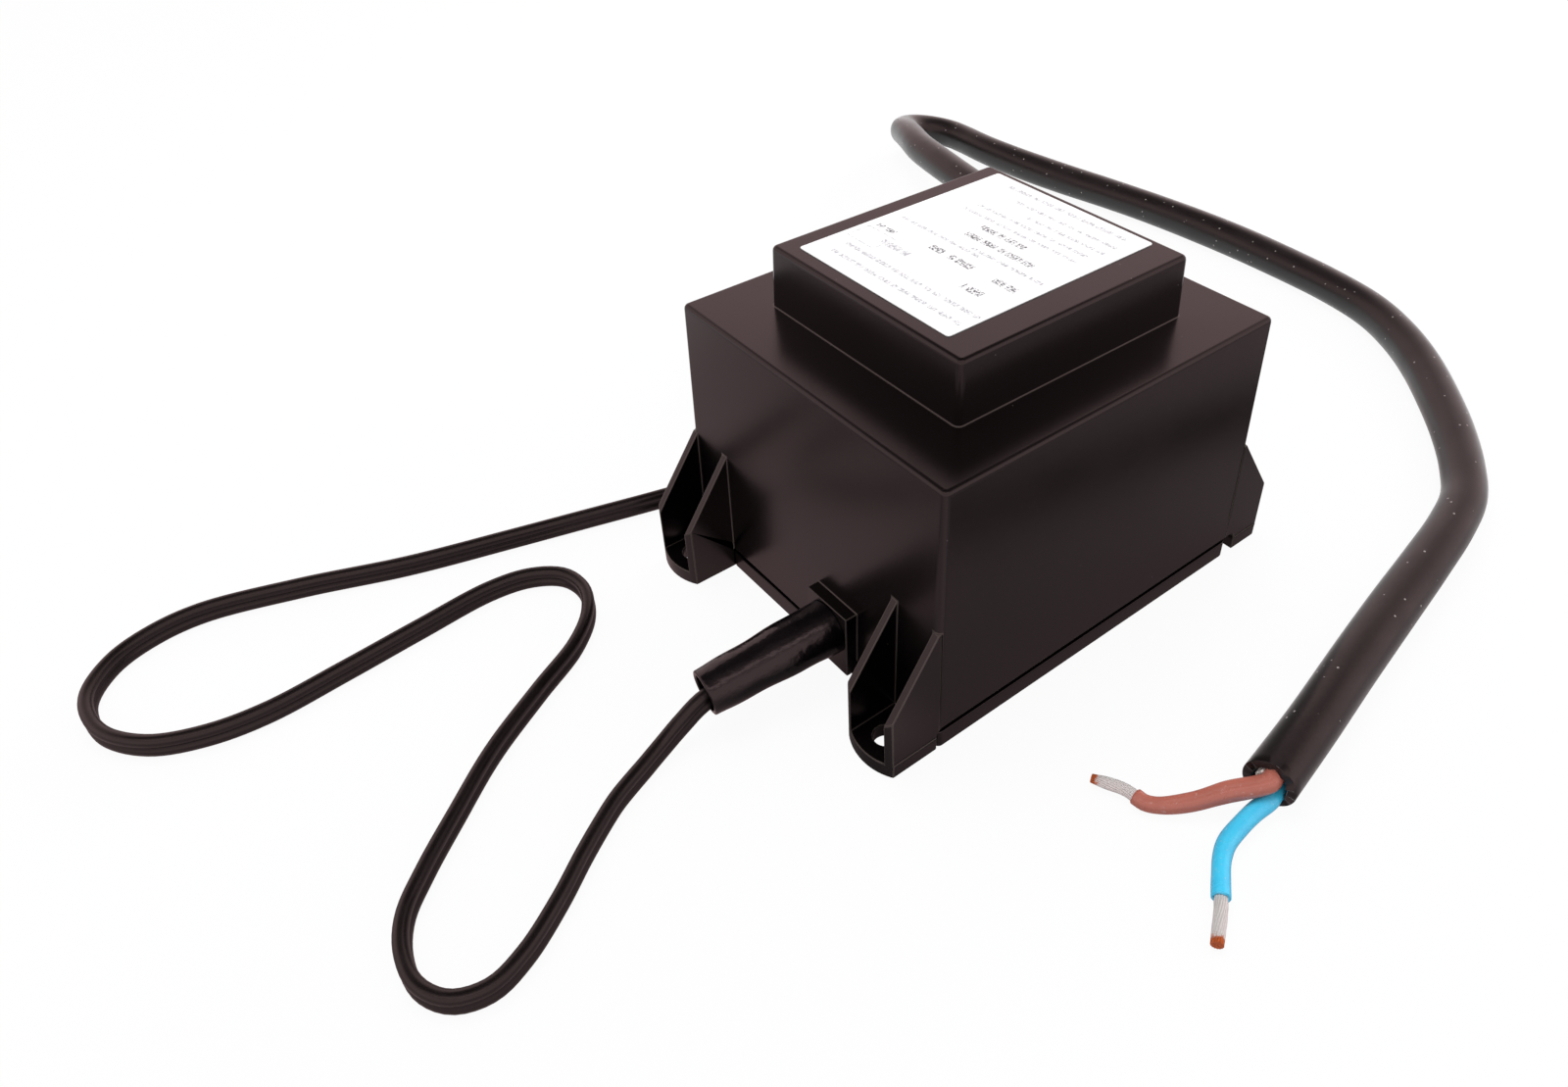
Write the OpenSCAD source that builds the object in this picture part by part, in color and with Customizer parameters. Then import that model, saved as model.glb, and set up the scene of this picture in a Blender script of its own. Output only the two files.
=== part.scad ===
// Potted power supply: a moulded housing with four screw lugs round a laminated
// transformer cast in resin. A flat twin cord enters one end, and a round
// two-core cable leaves the other. The length runs along X, and Z is up.

/* [Core] */
// Width of the core's middle leg
core_leg = 32; // [28:1:36]
// Width of the core's two windows
window_width = 16; // [14:1:18]
// Length of the core's two windows
window_length = 48; // [40:1:56]
// Height of the lamination stack
core_stack = 45; // [36:1:54]
// Diameter of the holes for the stack's screws
core_hole = 5.8; // [5.2:0.1:6.5]

/* [Windings] */
// Thickness of the bobbin's tube and flanges
bobbin_wall = 1.5; // [1:0.1:2]
// Clearance between the bobbin and the core
bobbin_fit = 0.1; // [0.05:0.05:0.3]
// Build-up of the primary winding
primary_build = 6; // [4:0.2:7]
// Thickness of the insulation between and around the windings
insulation = 0.5; // [0.2:0.1:0.8]
// Room left in the windows outside the windings
winding_gap = 1.4; // [0.6:0.1:2.4]
// Length of the thermal cut-out
cutout_length = 18; // [12:1:22]
// Width of the thermal cut-out
cutout_width = 9; // [6:0.5:12]
// Thickness of the thermal cut-out
cutout_height = 3.4; // [2:0.1:4.5]

/* [Housing] */
// Thickness of the housing's walls
wall = 2.5; // [1.8:0.1:3]
// Resin between the core and the end walls at the shoulder
resin_end = 2; // [1.2:0.1:5]
// Resin between the core and the side walls at the shoulder
resin_side = 5.4; // [3:0.1:9]
// Resin between the winding and the base plate
resin_below_coil = 0.9; // [0.6:0.1:3]
// Resin between the core and the shoulder
resin_above_core = 5; // [4:0.1:8]
// Resin between the thermal cut-out and the plinth's top
resin_above_cutout = 3; // [2:0.1:6]
// How much wider each wall stands at the base than at the shoulder
wall_draft = 1.05; // [0.4:0.05:2]
// Radius of the upright corners
corner_radius = 1.6; // [1:0.1:3]
// Radius of the shoulder's and the plinth's top edges
edge_radius = 1.3; // [0.6:0.1:2]

/* [Plinth] */
// Resin between the bobbin and the plinth's end walls
plinth_end_gap = 1.3; // [0.8:0.1:4]
// Resin between the bobbin and the plinth's side walls
plinth_side_gap = 6.6; // [4:0.1:9]
// How much wider the plinth stands at its foot
plinth_draft = 0.35; // [0.1:0.05:1]

/* [Lugs] */
// Width of each screw lug
lug_width = 16.2; // [14:0.2:22]
// How far each lug reaches from the wall at the base
lug_reach = 14.7; // [12:0.1:22]
// Radius of the arc that ends each lug
lug_end_radius = 15; // [13:0.5:24]
// Thickness of the lug's foot
foot_thickness = 4; // [3:0.1:5]
// Thickness of the two gussets of a lug
gusset_thickness = 2; // [1.4:0.1:2.6]
// Height at which the gussets meet the wall
gusset_height = 37; // [28:0.5:50]
// Height at which the gussets start to slope
gusset_knee = 15; // [8:0.5:20]
// Diameter of the screw hole
screw_hole = 6; // [4.5:0.1:7]
// Distance from the wall at the base to the screw hole
screw_hole_out = 7.8; // [6:0.1:10]

/* [Cord bosses] */
// Distance of each cord's axis from the middle of the width
boss_offset = 13; // [12:0.5:16]
// Distance from the cords' axes up to the core
boss_drop = 8.1; // [7.6:0.1:9]
// How far the bosses stand out from the wall at the base
boss_depth = 3.1; // [2:0.1:5]
// Width of the flat cord's boss
flat_boss_width = 15; // [14:0.5:18]
// Height of the flat cord's boss above the cord's axis
flat_boss_rise = 7.6; // [7:0.1:10]
// Width of the round cable's boss
round_boss_width = 21; // [20:0.5:24]
// Height of the round cable's boss above the cable's axis
round_boss_rise = 11.1; // [10.5:0.1:14]
// Height at which both bosses begin
boss_foot = 3; // [2:0.5:5]

/* [Base plate] */
// Thickness of the base plate's flange
plate_thickness = 5; // [3:0.1:6]
// Gap between the flange and the edge of the wall above it
plate_shadow_gap = 1.2; // [0.4:0.1:2]
// Room left past the flange at the round cable's end
plate_end_gap = 3.6; // [0.5:0.1:5]
// Radius at the ends of the notch that takes the flange
notch_radius = 2; // [0.5:0.1:3]
// Height of the raised middle of the plate above its flange
plate_step = 2; // [1.4:0.1:3]

/* [Label] */
// Bare plinth beside the label at each end
label_margin_x = 3.4; // [2.4:0.1:12]
// Bare plinth beside the label at each side
label_margin_y = 7.2; // [3:0.1:14]
// Thickness of the rating label
label_thickness = 0.2; // [0.1:0.05:0.4]
// How far the label sits off the plinth's middle along X
label_shift_x = 1; // [-2:0.1:2]
// How far the label sits off the plinth's middle along Y
label_shift_y = 1.5; // [-2:0.1:2]

/* [Flat cord] */
// Width of the flat twin cord
flat_cord_width = 6.2; // [5:0.1:6.6]
// Thickness of the flat twin cord
flat_cord_thickness = 3.3; // [2.8:0.1:3.6]
// Outer radius of the cord sleeve at the boss
sleeve_root_radius = 7; // [6.6:0.1:7.2]
// Outer radius of the cord sleeve at its mouth
sleeve_mouth_radius = 5.8; // [5.4:0.1:5.9]
// Wall of the cord sleeve at its mouth
sleeve_wall = 1.3; // [0.8:0.1:1.6]
// Radius of the sleeve's spigot in the boss
spigot_radius = 5.6; // [4.8:0.1:6]
// Turns of the stored flat cord
coil_turns = 4; // [2:1:5]
// Radius of the stored coil's inside
coil_inner_radius = 27; // [25:0.5:30]

/* [Round cable] */
// Diameter of the round cable
round_cable_diameter = 12.6; // [12:0.1:14]
// Diameter of the two insulated cores
wire_diameter = 4.7; // [4.4:0.1:5.6]
// Diameter of the bare stranded conductors
strand_diameter = 3.1; // [2.6:0.1:4]
// Thickness of the grommet's lip round the cable
grommet_lip = 2.2; // [1:0.1:3]
// Length of the grommet outside the boss
grommet_length = 5; // [3:0.5:8]

/* [Hidden] */
$fn = 48;

// Clearance that the resin leaves round what is cast in it
cast_fit = 0.05;
overlap = 0.5;

// Core and windings: the outer legs and the yokes are half as wide as the middle leg
yoke = core_leg / 2;
core_length = 2 * core_leg + 2 * window_width;
core_width = core_leg + window_length;
core_hole_x = (core_length - yoke) / 2;
core_hole_y = (core_width - yoke) / 2;
screw_radius = 2.5;
screw_head_radius = 4.4;
screw_head_height = 3.2;
nut_across = 8;
nut_height = 4;
coil_box_x = core_leg / 2 + bobbin_fit + bobbin_wall;
coil_box_z = core_stack / 2 + bobbin_fit + bobbin_wall;
winding_span = window_length - 2 * (bobbin_wall + bobbin_fit);
winding_total = window_width - bobbin_fit - bobbin_wall - winding_gap;
secondary_build = winding_total - primary_build - 2 * insulation;
flange_x = core_leg / 2 + window_width - 2 * bobbin_fit;
flange_z = coil_box_z + winding_total;

// Heights, from the base plate up through the winding to the plinth
plate_clearance = 0.2;
step_clearance = 0.35;
flange_inset = 0.95;
resin_floor = plate_thickness + plate_step;
core_height = resin_floor + resin_below_coil + flange_z;
core_foot = core_height - core_stack / 2;
cutout_base = core_height + flange_z;
shoulder_height = core_height + core_stack / 2 + resin_above_core + wall;
top_height = cutout_base + cutout_height + resin_above_cutout + wall;
plinth_height = top_height - shoulder_height;
boss_axis_height = core_foot - boss_drop;
flat_boss_top = boss_axis_height + flat_boss_rise;
round_boss_top = boss_axis_height + round_boss_rise;

// Lengths and widths, from the core out to the lugs
body_length = core_length + 2 * (resin_end + wall);
body_width = core_width + 2 * (resin_side + wall);
plinth_length = 2 * (flange_x + plinth_end_gap + wall);
plinth_width = window_length - 2 * bobbin_fit + 2 * (plinth_side_gap + wall);
label_length = plinth_length - 2 * label_margin_x;
label_width = plinth_width - 2 * label_margin_y;
base_length = body_length + 2 * wall_draft;
base_width = body_width + 2 * wall_draft;
draft_angle = atan(wall_draft / shoulder_height);
lug_middle = (base_width - lug_width) / 2;
lug_gap_width = base_width - 2 * lug_width;
notch_height = plate_thickness + plate_shadow_gap;
boss_root = 1.5;
boss_face = base_length / 2 + boss_depth;
bore_fit = 0.1;

// Leads and splices in the resin beside the lower winding head
splice_gap = 2.9;
splice_length = 8;
splice_start_x = coil_box_x + winding_total + splice_gap;
root_end_x = splice_start_x + splice_length + 2.5;
primary_lead_radius = 1.1;
primary_splice_radius = 2.2;
primary_lead_offset = 2.4;
secondary_lead_radius = 1.6;
secondary_splice_radius = 2.6;
secondary_lead_offset = 2.8;
cutout_lead_radius = 0.7;
cutout_lead_length = 11;
cable_fit = 0.05;
grommet_wall = 1.4;
grommet_radius = round_cable_diameter / 2 + cable_fit + grommet_wall;
coil_pitch = 3.6;
tie_thickness = 0.6;
tie_width = 5;
coil_height = flat_cord_width;
coil_outer_radius = coil_inner_radius + coil_turns * coil_pitch;

// Cord routes along the standing surface, chosen by hand from the picture
flat_exit = [-boss_face, -boss_offset, boss_axis_height];
sleeve_path = [for (step = [[6.2, 0, 0], [0, 0, 0], [-1.7, 0, 0], [-5.6, 0.4, -0.2],
    [-12.2, 1.1, -0.8], [-19.2, 1.9, -1.6], [-26.2, 2.7, -2.4], [-32.8, 3.5, -3.2]]) flat_exit + step];
flat_root_path = concat([[-root_end_x, -boss_offset, boss_axis_height]],
    [for (step = [[4.6, 0, 0], [-1.4, 0, -0.1], [-5.6, 0.4, -0.4], [-12.2, 1.1, -1.1],
        [-18.2, 1.8, -1.9], [-24, 2.5, -2.95], [-29.95, 3.1, -4]]) flat_exit + step]);
flat_route = [[-86.65, -9.9, 10.4], [-89.65, -9.6, 9.87], [-92.4, -9.6, 8.9], [-95.5, -9.9, 7.4],
    [-99, -10.3, 5.7], [-103.4, -11.3, 4.1], [-108.4, -13, 3.3], [-113.2, -14.8, 3.1],
    [-118.2, -17, 3.1], [-124.5, -20.8, 3.1], [-130.5, -24.8, 3.1],
    [-139.4, -31.2, 3.1], [-150, -37.4, 3.1], [-158, -39.6, 3.1], [-165, -37, 3.1],
    [-168.8, -30.5, 3.1], [-168.4, -22, 3.1], [-165, -14.5, 3.1], [-158, -7.4, 3.1],
    [-147, 1.8, 3.1], [-133.5, 12.5, 3.1], [-117, 22.5, 3.1], [-103, 30.5, 3.1],
    [-95, 38.6, 3.1], [-91.8, 47, 3.1], [-93.5, 55, 3.1], [-100.5, 60.5, 3.1],
    [-111, 62.6, 3.1], [-131, 61, 3.1], [-151, 59, 3.1], [-170, 57.6, 3.1],
    [-183, 59.6, 3.1], [-194.5, 65.2, 3.1], [-202, 75.5, 3.1], [-202.4, 88.5, 3.1],
    [-195, 98, 3.1], [-185, 102.2, 3.1], [-173, 102.8, 3.1], [-150, 96, 3.1],
    [-124, 86, 3.1], [-98, 78.5, 3.1], [-78, 73, 3.1], [-58, 67.5, 3.1],
    [-38, 62.5, 3.1], [-18, 58, 3.1], [0, 55.6, 3.2], [15, 54.8, 3.5], [30, 54.75, 3.7]];
tail_path = [[30, 72.9, 3.7], [40, 74.9, 4.3], [48.4, 81.2, 5.8], [53.2, 89.8, 8],
    [54.9, 98.5, 10.1], [57.5, 107, 10.2], [63, 115, 10.2], [70.5, 119.8, 10.1],
    [79, 120.4, 9], [85.6, 116.6, 7.8], [88.3, 110, 7.1], [88.3, 104.3, 7]];
round_route = [[boss_face + grommet_length, boss_offset, boss_axis_height],
    [68, 13, 14.4], [78, 13.6, 14.3], [90, 17, 14.1], [102, 24, 14],
    [112, 34, 14.2], [120, 50, 15], [125, 70, 16.4], [128, 92, 18], [130, 114, 19.4],
    [133, 138, 20], [138, 162, 19.8], [144.6, 183, 18.3], [151, 196, 16.8],
    [156.6, 206.2, 14.8], [160.4, 212.2, 13], [165, 216.1, 11.2], [171, 217.6, 9.6],
    [177.1, 216.1, 8.2], [182, 212.2, 7.1], [184.8, 206.6, 6.5], [185.4, 199, 6.3],
    [184.8, 184, 6.3], [185.8, 163.5, 6.3], [188.6, 140, 6.3], [192.2, 118, 6.3],
    [195, 96.4, 6.3], [196.6, 76, 6.3], [197.2, 56, 6.3], [196.6, 36, 6.3],
    [194.6, 13.2, 6.3], [190.2, -6, 6.3], [181.8, -22.2, 6.3], [171.2, -36.2, 6.3],
    [158.6, -49.4, 6.3], [144.6, -62.4, 6.3], [131.2, -72.8, 6.3], [118.2, -80.6, 6.3],
    [103.6, -85, 6.3], [84.6, -88.7, 6.3], [62.4, -92.6, 6.3], [38.4, -97, 6.3],
    [14.6, -101.6, 6.3], [-6.4, -105.2, 6.3]];
brown_path = [[-6.48, -105.62, 8.5], [-7.86, -105.86, 8.5], [-10.6, -104.2, 7.6], [-14.9, -100.8, 5.9],
    [-21.5, -96.7, 3.7], [-26.6, -92.6, 2.55], [-28.6, -89.9, 2.4], [-28.9, -87.6, 2.4]];
brown_strand_path = [[-28.91, -87.55, 2.4], [-29.25, -84.95, 2.4], [-32.5, -77.9, 2]];
blue_path = [[-6.28, -106.8, 3.9], [-8.25, -107.14, 3.9], [-12.8, -106.8, 3.5], [-17.9, -106.9, 2.9],
    [-23, -107.5, 2.45], [-26.9, -109.2, 2.4], [-31.3, -112.3, 2.4], [-34.4, -114.7, 2.4]];
blue_strand_path = [[-34.44, -114.73, 2.4], [-36.2, -116.1, 2.4], [-43.2, -120.6, 2]];
coil_centre = [30, 98];
plug_position = [88.3, 104];
plug_length = 34;
plug_root_width = 13;
plug_front_width = 35;
plug_height = 13.6;
plug_pin_radius = 2;
plug_pin_length = 19;
plug_pin_spacing = 18.6;
plug_sleeve_length = 10;
cord_sides = 8;
cable_sides = 12;
sleeve_sides = 24;

// Vectors and rings for swept tubes
function unit(v) = v / norm(v);
function tangent(path, i) = unit(path[min(i + 1, len(path) - 1)] - path[max(i - 1, 0)]);
function across(t) = unit(cross(t, [0, 0, 1]));
function ring(centre, t, half_across, half_up, sides) =
    let (side = across(t), up = cross(side, t))
    [for (k = [0 : sides - 1]) let (a = 360 * (k + 0.5) / sides)
        centre + side * half_across * cos(a) + up * half_up * sin(a)];
function band(i, j, k, sides) = let (n = (k + 1) % sides)
    [[i * sides + k, i * sides + n, j * sides + n],
     [i * sides + k, j * sides + n, j * sides + k]];

// A solid tube through the points of a path
module tube(path, half_across, half_up, sides) {
    last = len(path) - 1;
    points = [for (i = [0 : last]) each ring(path[i], tangent(path, i), half_across, half_up, sides)];
    polyhedron(points, concat(
        [[for (k = [sides - 1 : -1 : 0]) k]],
        [[for (k = [0 : sides - 1]) last * sides + k]],
        [for (i = [0 : last - 1], k = [0 : sides - 1]) each band(i, i + 1, k, sides)]));
}

// A hollow tube: each station is [path index, radius], out along the outside and back along the bore
module hollow_tube(path, stations, sides) {
    count = len(stations);
    points = [for (s = stations) each ring(path[s[0]], tangent(path, s[0]), s[1], s[1], sides)];
    polyhedron(points, [for (i = [0 : count - 1], k = [0 : sides - 1])
        each band(i, (i + 1) % count, k, sides)]);
}

// A rectangle with round corners, from straight and round pieces
module rounded_rect(size, radius) {
    square([size[0] - 2 * radius, size[1]], center = true);
    square([size[0], size[1] - 2 * radius], center = true);
    for (sx = [-1, 1], sy = [-1, 1])
        translate([sx * (size[0] / 2 - radius), sy * (size[1] / 2 - radius)]) circle(radius);
}

// One thin slice of a drafted block
module slice(size, height, radius) {
    translate([0, 0, height]) linear_extrude(0.01) rounded_rect(size, radius, $fn = 32);
}

// A block that leans in towards its top, whose top edge is a quarter round of slices
module drafted_block(foot, top, low, high, radius, edge) {
    hull() {
        slice(foot, low, radius);
        for (a = [0 : 22.5 : 90])
            slice(top - [2, 2] * edge * (1 - cos(a)), high - 0.01 - edge * (1 - sin(a)),
                max(radius - edge * (1 - cos(a)), 0.3));
    }
}

// Size of the drafted body at a height, taken in by an inset on every side
function body_size(height, inset) = [body_length, body_width]
    + [2, 2] * (wall_draft * (1 - height / shoulder_height) - inset);
function plinth_size(height, inset) = [plinth_length, plinth_width]
    + [2, 2] * (plinth_draft * (top_height - height) / plinth_height - inset);

// The body's outside, or its inside when an inset is given
module body_block(inset, low) {
    high = shoulder_height - inset;
    drafted_block(body_size(low, inset), body_size(high, inset), low, high,
        corner_radius, min(edge_radius, corner_radius));
}
module plinth_block(inset) {
    low = shoulder_height - wall - overlap;
    high = top_height - inset;
    drafted_block(plinth_size(low, inset), plinth_size(high, inset), low, high,
        corner_radius, min(edge_radius, corner_radius));
}

// Plan of a lug, from the wall outwards along X
module lug_plan() {
    intersection() {
        translate([-boss_root, -lug_width / 2]) square([boss_root + lug_reach, lug_width]);
        translate([lug_reach - lug_end_radius, 0]) circle(lug_end_radius, $fn = 96);
    }
}

// Side view of a gusset, from the wall outwards along X
module gusset_profile() {
    polygon([[-boss_root, 0], [lug_reach, 0], [lug_reach, gusset_knee],
        [-wall_draft * gusset_height / shoulder_height, gusset_height],
        [-boss_root, gusset_height]]);
}
module gusset() {
    rotate([90, 0, 0]) linear_extrude(gusset_thickness) gusset_profile();
}

// A lug on the wall at the positive X and Y corner
module lug() {
    translate([base_length / 2, lug_middle, 0]) {
        difference() {
            linear_extrude(foot_thickness) lug_plan();
            translate([screw_hole_out, 0, -overlap])
                cylinder(h = foot_thickness + 2 * overlap, d = screw_hole);
        }
        intersection() {
            linear_extrude(gusset_height) lug_plan();
            union() {
                translate([0, -lug_width / 2 + gusset_thickness, 0]) gusset();
                translate([0, lug_width / 2, 0]) rotate([draft_angle, 0, 0]) gusset();
            }
        }
    }
}

// A cord's boss on the wall at the positive X end
module boss(width, top) {
    translate([base_length / 2 - boss_root, boss_offset - width / 2, boss_foot])
        cube([boss_root + boss_depth, width, top - boss_foot]);
}
module boss_bore(radius) {
    translate([base_length / 2 - 2 * wall, boss_offset, boss_axis_height])
        rotate([0, 90, 0]) cylinder(h = 2 * wall + boss_depth + overlap, r = radius);
}

// Room in the wall's foot for the base plate
module plate_notch() {
    low = -base_length / 2 + flange_inset - plate_clearance;
    high = base_length / 2 - flange_inset + plate_end_gap;
    rotate([90, 0, 0]) linear_extrude(base_width + 2, center = true) {
        translate([low, -1]) square([high - low, 1 + notch_height - notch_radius]);
        translate([low + notch_radius, -1]) square([high - low - 2 * notch_radius, 1 + notch_height]);
        for (x = [low + notch_radius, high - notch_radius])
            translate([x, notch_height - notch_radius]) circle(notch_radius);
    }
    translate([-base_length / 2 - plate_clearance, -lug_gap_width / 2, -1])
        cube([base_length + 2 * plate_clearance, lug_gap_width, 1 + notch_height]);
}

module housing() {
    color([0.11, 0.09, 0.09]) difference() {
        union() {
            body_block(0, 0);
            plinth_block(0);
            for (sx = [0, 1], sy = [0, 1])
                mirror([sx, 0, 0]) mirror([0, sy, 0]) lug();
            rotate([0, 0, 180]) boss(flat_boss_width, flat_boss_top);
            boss(round_boss_width, round_boss_top);
        }
        body_block(wall, -1);
        plinth_block(wall);
        plate_notch();
        rotate([0, 0, 180]) boss_bore(spigot_radius + bore_fit);
        boss_bore(grommet_radius + bore_fit);
    }
}

module base_plate() {
    step = body_size(plate_thickness, wall + step_clearance);
    color([0.13, 0.12, 0.12]) {
        linear_extrude(plate_thickness) {
            rounded_rect([base_length - 2 * flange_inset, base_width], corner_radius);
            square([base_length, lug_gap_width - 2 * plate_clearance], center = true);
        }
        translate([0, 0, plate_thickness - overlap]) linear_extrude(plate_step + overlap)
            rounded_rect(step, corner_radius);
    }
}

module rating_label() {
    color([0.93, 0.93, 0.93])
        translate([label_shift_x, label_shift_y, top_height])
            linear_extrude(label_thickness) rounded_rect([label_length, label_width], 0.8);
}

// What fills the housing round the transformer
module potting_resin() {
    color([0.16, 0.14, 0.12]) difference() {
        union() {
            body_block(wall, -1);
            plinth_block(wall);
        }
        translate([-base_length, -base_width, -2])
            cube([2 * base_length, 2 * base_width, 2 + resin_floor]);
        translate([0, 0, core_height]) {
            cube([core_length, core_width, core_stack] + [2, 2, 2] * cast_fit, center = true);
            cube([2 * flange_x, window_length, 2 * flange_z] + [2, 2, 2] * cast_fit, center = true);
        }
        stack_screws(cast_fit);
        stack_nuts(cast_fit);
        translate([0, 0, cutout_base + cutout_height / 2])
            cube([cutout_length, cutout_width, cutout_height] + [2, 2, 2] * cast_fit, center = true);
        cutout_wires(cast_fit);
        lead_pair(-1, primary_lead_offset, primary_lead_radius + cast_fit, root_end_x);
        lead_pair(1, secondary_lead_offset, secondary_lead_radius + cast_fit, root_end_x);
        splice_pair(-1, primary_lead_offset, primary_splice_radius + cast_fit, 0);
        splice_pair(1, secondary_lead_offset, secondary_splice_radius + cast_fit, 0);
        cast_bore(-1, spigot_radius + cast_fit, root_end_x);
        cast_bore(1, round_cable_diameter / 2 + cast_fit, root_end_x);
    }
}

// A round passage in the resin on a cord's axis, out through the wall's inside
module cast_bore(side, radius, from) {
    translate([side * from - (side < 0 ? wall + base_length : 0), side * boss_offset, boss_axis_height])
        rotate([0, 90, 0]) cylinder(h = wall + base_length, r = radius);
}

// The E-shaped laminations, with the middle leg along Y
module core_e_stack() {
    color([0.45, 0.45, 0.47]) translate([0, 0, core_height - core_stack / 2])
        linear_extrude(core_stack) difference() {
            translate([-core_length / 2, -core_width / 2])
                square([core_length, core_width - yoke]);
            for (side = [-1, 1])
                translate([side * (core_leg + window_width) / 2, yoke])
                    square([window_width, window_length + yoke * 2], center = true);
            for (side = [-1, 1])
                translate([side * core_hole_x, -core_hole_y]) circle(d = core_hole);
        }
}

// The I-shaped laminations that close the windows
module core_i_stack() {
    color([0.5, 0.5, 0.52]) translate([0, 0, core_height - core_stack / 2])
        linear_extrude(core_stack) difference() {
            translate([-core_length / 2, window_length / 2]) square([core_length, yoke]);
            for (side = [-1, 1])
                translate([side * core_hole_x, core_hole_y]) circle(d = core_hole);
        }
}

module at_core_holes() {
    for (sx = [-1, 1], sy = [-1, 1])
        translate([sx * core_hole_x, sy * core_hole_y, core_height]) children();
}
module stack_screws(grow) {
    at_core_holes() {
        translate([0, 0, -core_stack / 2 - nut_height - 1 - grow])
            cylinder(h = core_stack + nut_height + 1 + grow + overlap, r = screw_radius + grow);
        translate([0, 0, core_stack / 2])
            cylinder(h = screw_head_height + grow, r = screw_head_radius + grow);
    }
}
module stack_nuts(grow) {
    at_core_holes() translate([0, 0, -core_stack / 2 - nut_height - grow])
        cylinder(h = nut_height + grow, d = nut_across / cos(30) + 2 * grow, $fn = 6);
}
module core_screws() {
    color([0.62, 0.6, 0.5]) stack_screws(0);
}
module core_nuts() {
    color([0.6, 0.58, 0.5]) difference() {
        stack_nuts(0);
        at_core_holes() translate([0, 0, -core_stack / 2 - nut_height - 1])
            cylinder(h = nut_height + 2, r = screw_radius + cable_fit);
    }
}

// A ring of rectangular section turns wound round the middle leg
module winding_ring(start, build) {
    translate([0, 0, core_height]) rotate([90, 0, 0]) linear_extrude(winding_span, center = true)
        difference() {
            rounded_rect([coil_box_x + start + build, coil_box_z + start + build] * 2, start + build + 0.5);
            rounded_rect([coil_box_x + start, coil_box_z + start] * 2, start + 0.5);
        }
}

module bobbin() {
    inside = [core_leg, core_stack] + [2, 2] * bobbin_fit;
    color([0.85, 0.83, 0.75]) translate([0, 0, core_height]) rotate([90, 0, 0]) {
        linear_extrude(window_length - 2 * bobbin_fit, center = true) difference() {
            rounded_rect([coil_box_x, coil_box_z] * 2, 0.5);
            square(inside, center = true);
        }
        for (side = [-1, 1])
            translate([0, 0, side * (winding_span + bobbin_wall) / 2])
                linear_extrude(bobbin_wall, center = true) difference() {
                    rounded_rect([flange_x, flange_z] * 2, 2);
                    square(inside, center = true);
                }
    }
}
module primary_winding() {
    color([0.7, 0.35, 0.15]) winding_ring(0, primary_build);
}
module winding_insulation() {
    color([0.9, 0.85, 0.55]) winding_ring(primary_build, insulation);
}
module secondary_winding() {
    color([0.75, 0.4, 0.2]) winding_ring(primary_build + insulation, secondary_build);
}
module outer_wrap() {
    color([0.92, 0.8, 0.3]) winding_ring(primary_build + insulation + secondary_build, insulation);
}

module thermal_cutout() {
    color([0.75, 0.72, 0.65]) translate([0, 0, cutout_base + cutout_height / 2])
        cube([cutout_length, cutout_width, cutout_height], center = true);
}
module cutout_wires(grow) {
    for (side = [0, 1])
        mirror([side, 0, 0]) translate([cutout_length / 2, 0, cutout_base + cutout_lead_radius])
            rotate([0, 90, 0]) cylinder(h = cutout_lead_length + grow, r = cutout_lead_radius + grow);
}
module cutout_leads() {
    color([0.85, 0.85, 0.85]) cutout_wires(0);
}

// Two wires side by side from a cord's end to the winding's side
module lead_pair(side, offset, radius, from) {
    wound = coil_box_x + winding_total;
    for (dy = [-1, 1])
        translate([side > 0 ? wound : -from, side * boss_offset + dy * offset, boss_axis_height])
            rotate([0, 90, 0]) cylinder(h = from - wound, r = radius);
}
module splice_pair(side, offset, radius, bore) {
    for (dy = [-1, 1])
        translate([side > 0 ? splice_start_x : -splice_start_x - splice_length,
                side * boss_offset + dy * offset, boss_axis_height])
            rotate([0, 90, 0]) difference() {
                cylinder(h = splice_length, r = radius);
                if (bore > 0)
                    translate([0, 0, -overlap]) cylinder(h = splice_length + 2 * overlap, r = bore);
            }
}
module primary_leads() {
    color([0.6, 0.3, 0.2]) lead_pair(-1, primary_lead_offset, primary_lead_radius, root_end_x);
}
module secondary_leads() {
    color([0.75, 0.4, 0.2]) lead_pair(1, secondary_lead_offset, secondary_lead_radius, root_end_x);
}
module primary_splices() {
    color([0.85, 0.2, 0.2])
        splice_pair(-1, primary_lead_offset, primary_splice_radius, primary_lead_radius + cable_fit);
}
module secondary_splices() {
    color([0.2, 0.35, 0.8])
        splice_pair(1, secondary_lead_offset, secondary_splice_radius, secondary_lead_radius + cable_fit);
}

module cord_sleeve() {
    last = len(sleeve_path) - 1;
    taper = function(i) sleeve_root_radius
        + (sleeve_mouth_radius - sleeve_root_radius) * (i - 1) / (last - 1);
    outside = concat([[0, spigot_radius], [1, spigot_radius]], [for (i = [1 : last]) [i, taper(i)]]);
    inside = [for (i = [last : -1 : 0]) [i, sleeve_mouth_radius - sleeve_wall]];
    color([0.06, 0.05, 0.06]) hollow_tube(sleeve_path, concat(outside, inside), sleeve_sides);
}

module cable_grommet() {
    inner = round_cable_diameter / 2 + cable_fit;
    lip_start = boss_face;
    start = base_length / 2 - wall;
    color([0.07, 0.07, 0.07]) translate([0, boss_offset, boss_axis_height]) rotate([0, 90, 0])
        rotate_extrude() polygon([[inner, start], [grommet_radius, start], [grommet_radius, lip_start],
            [inner + grommet_lip, lip_start], [inner + grommet_lip, lip_start + grommet_length * 0.4],
            [inner + grommet_lip * 0.6, lip_start + grommet_length], [inner, lip_start + grommet_length]]);
}

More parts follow.
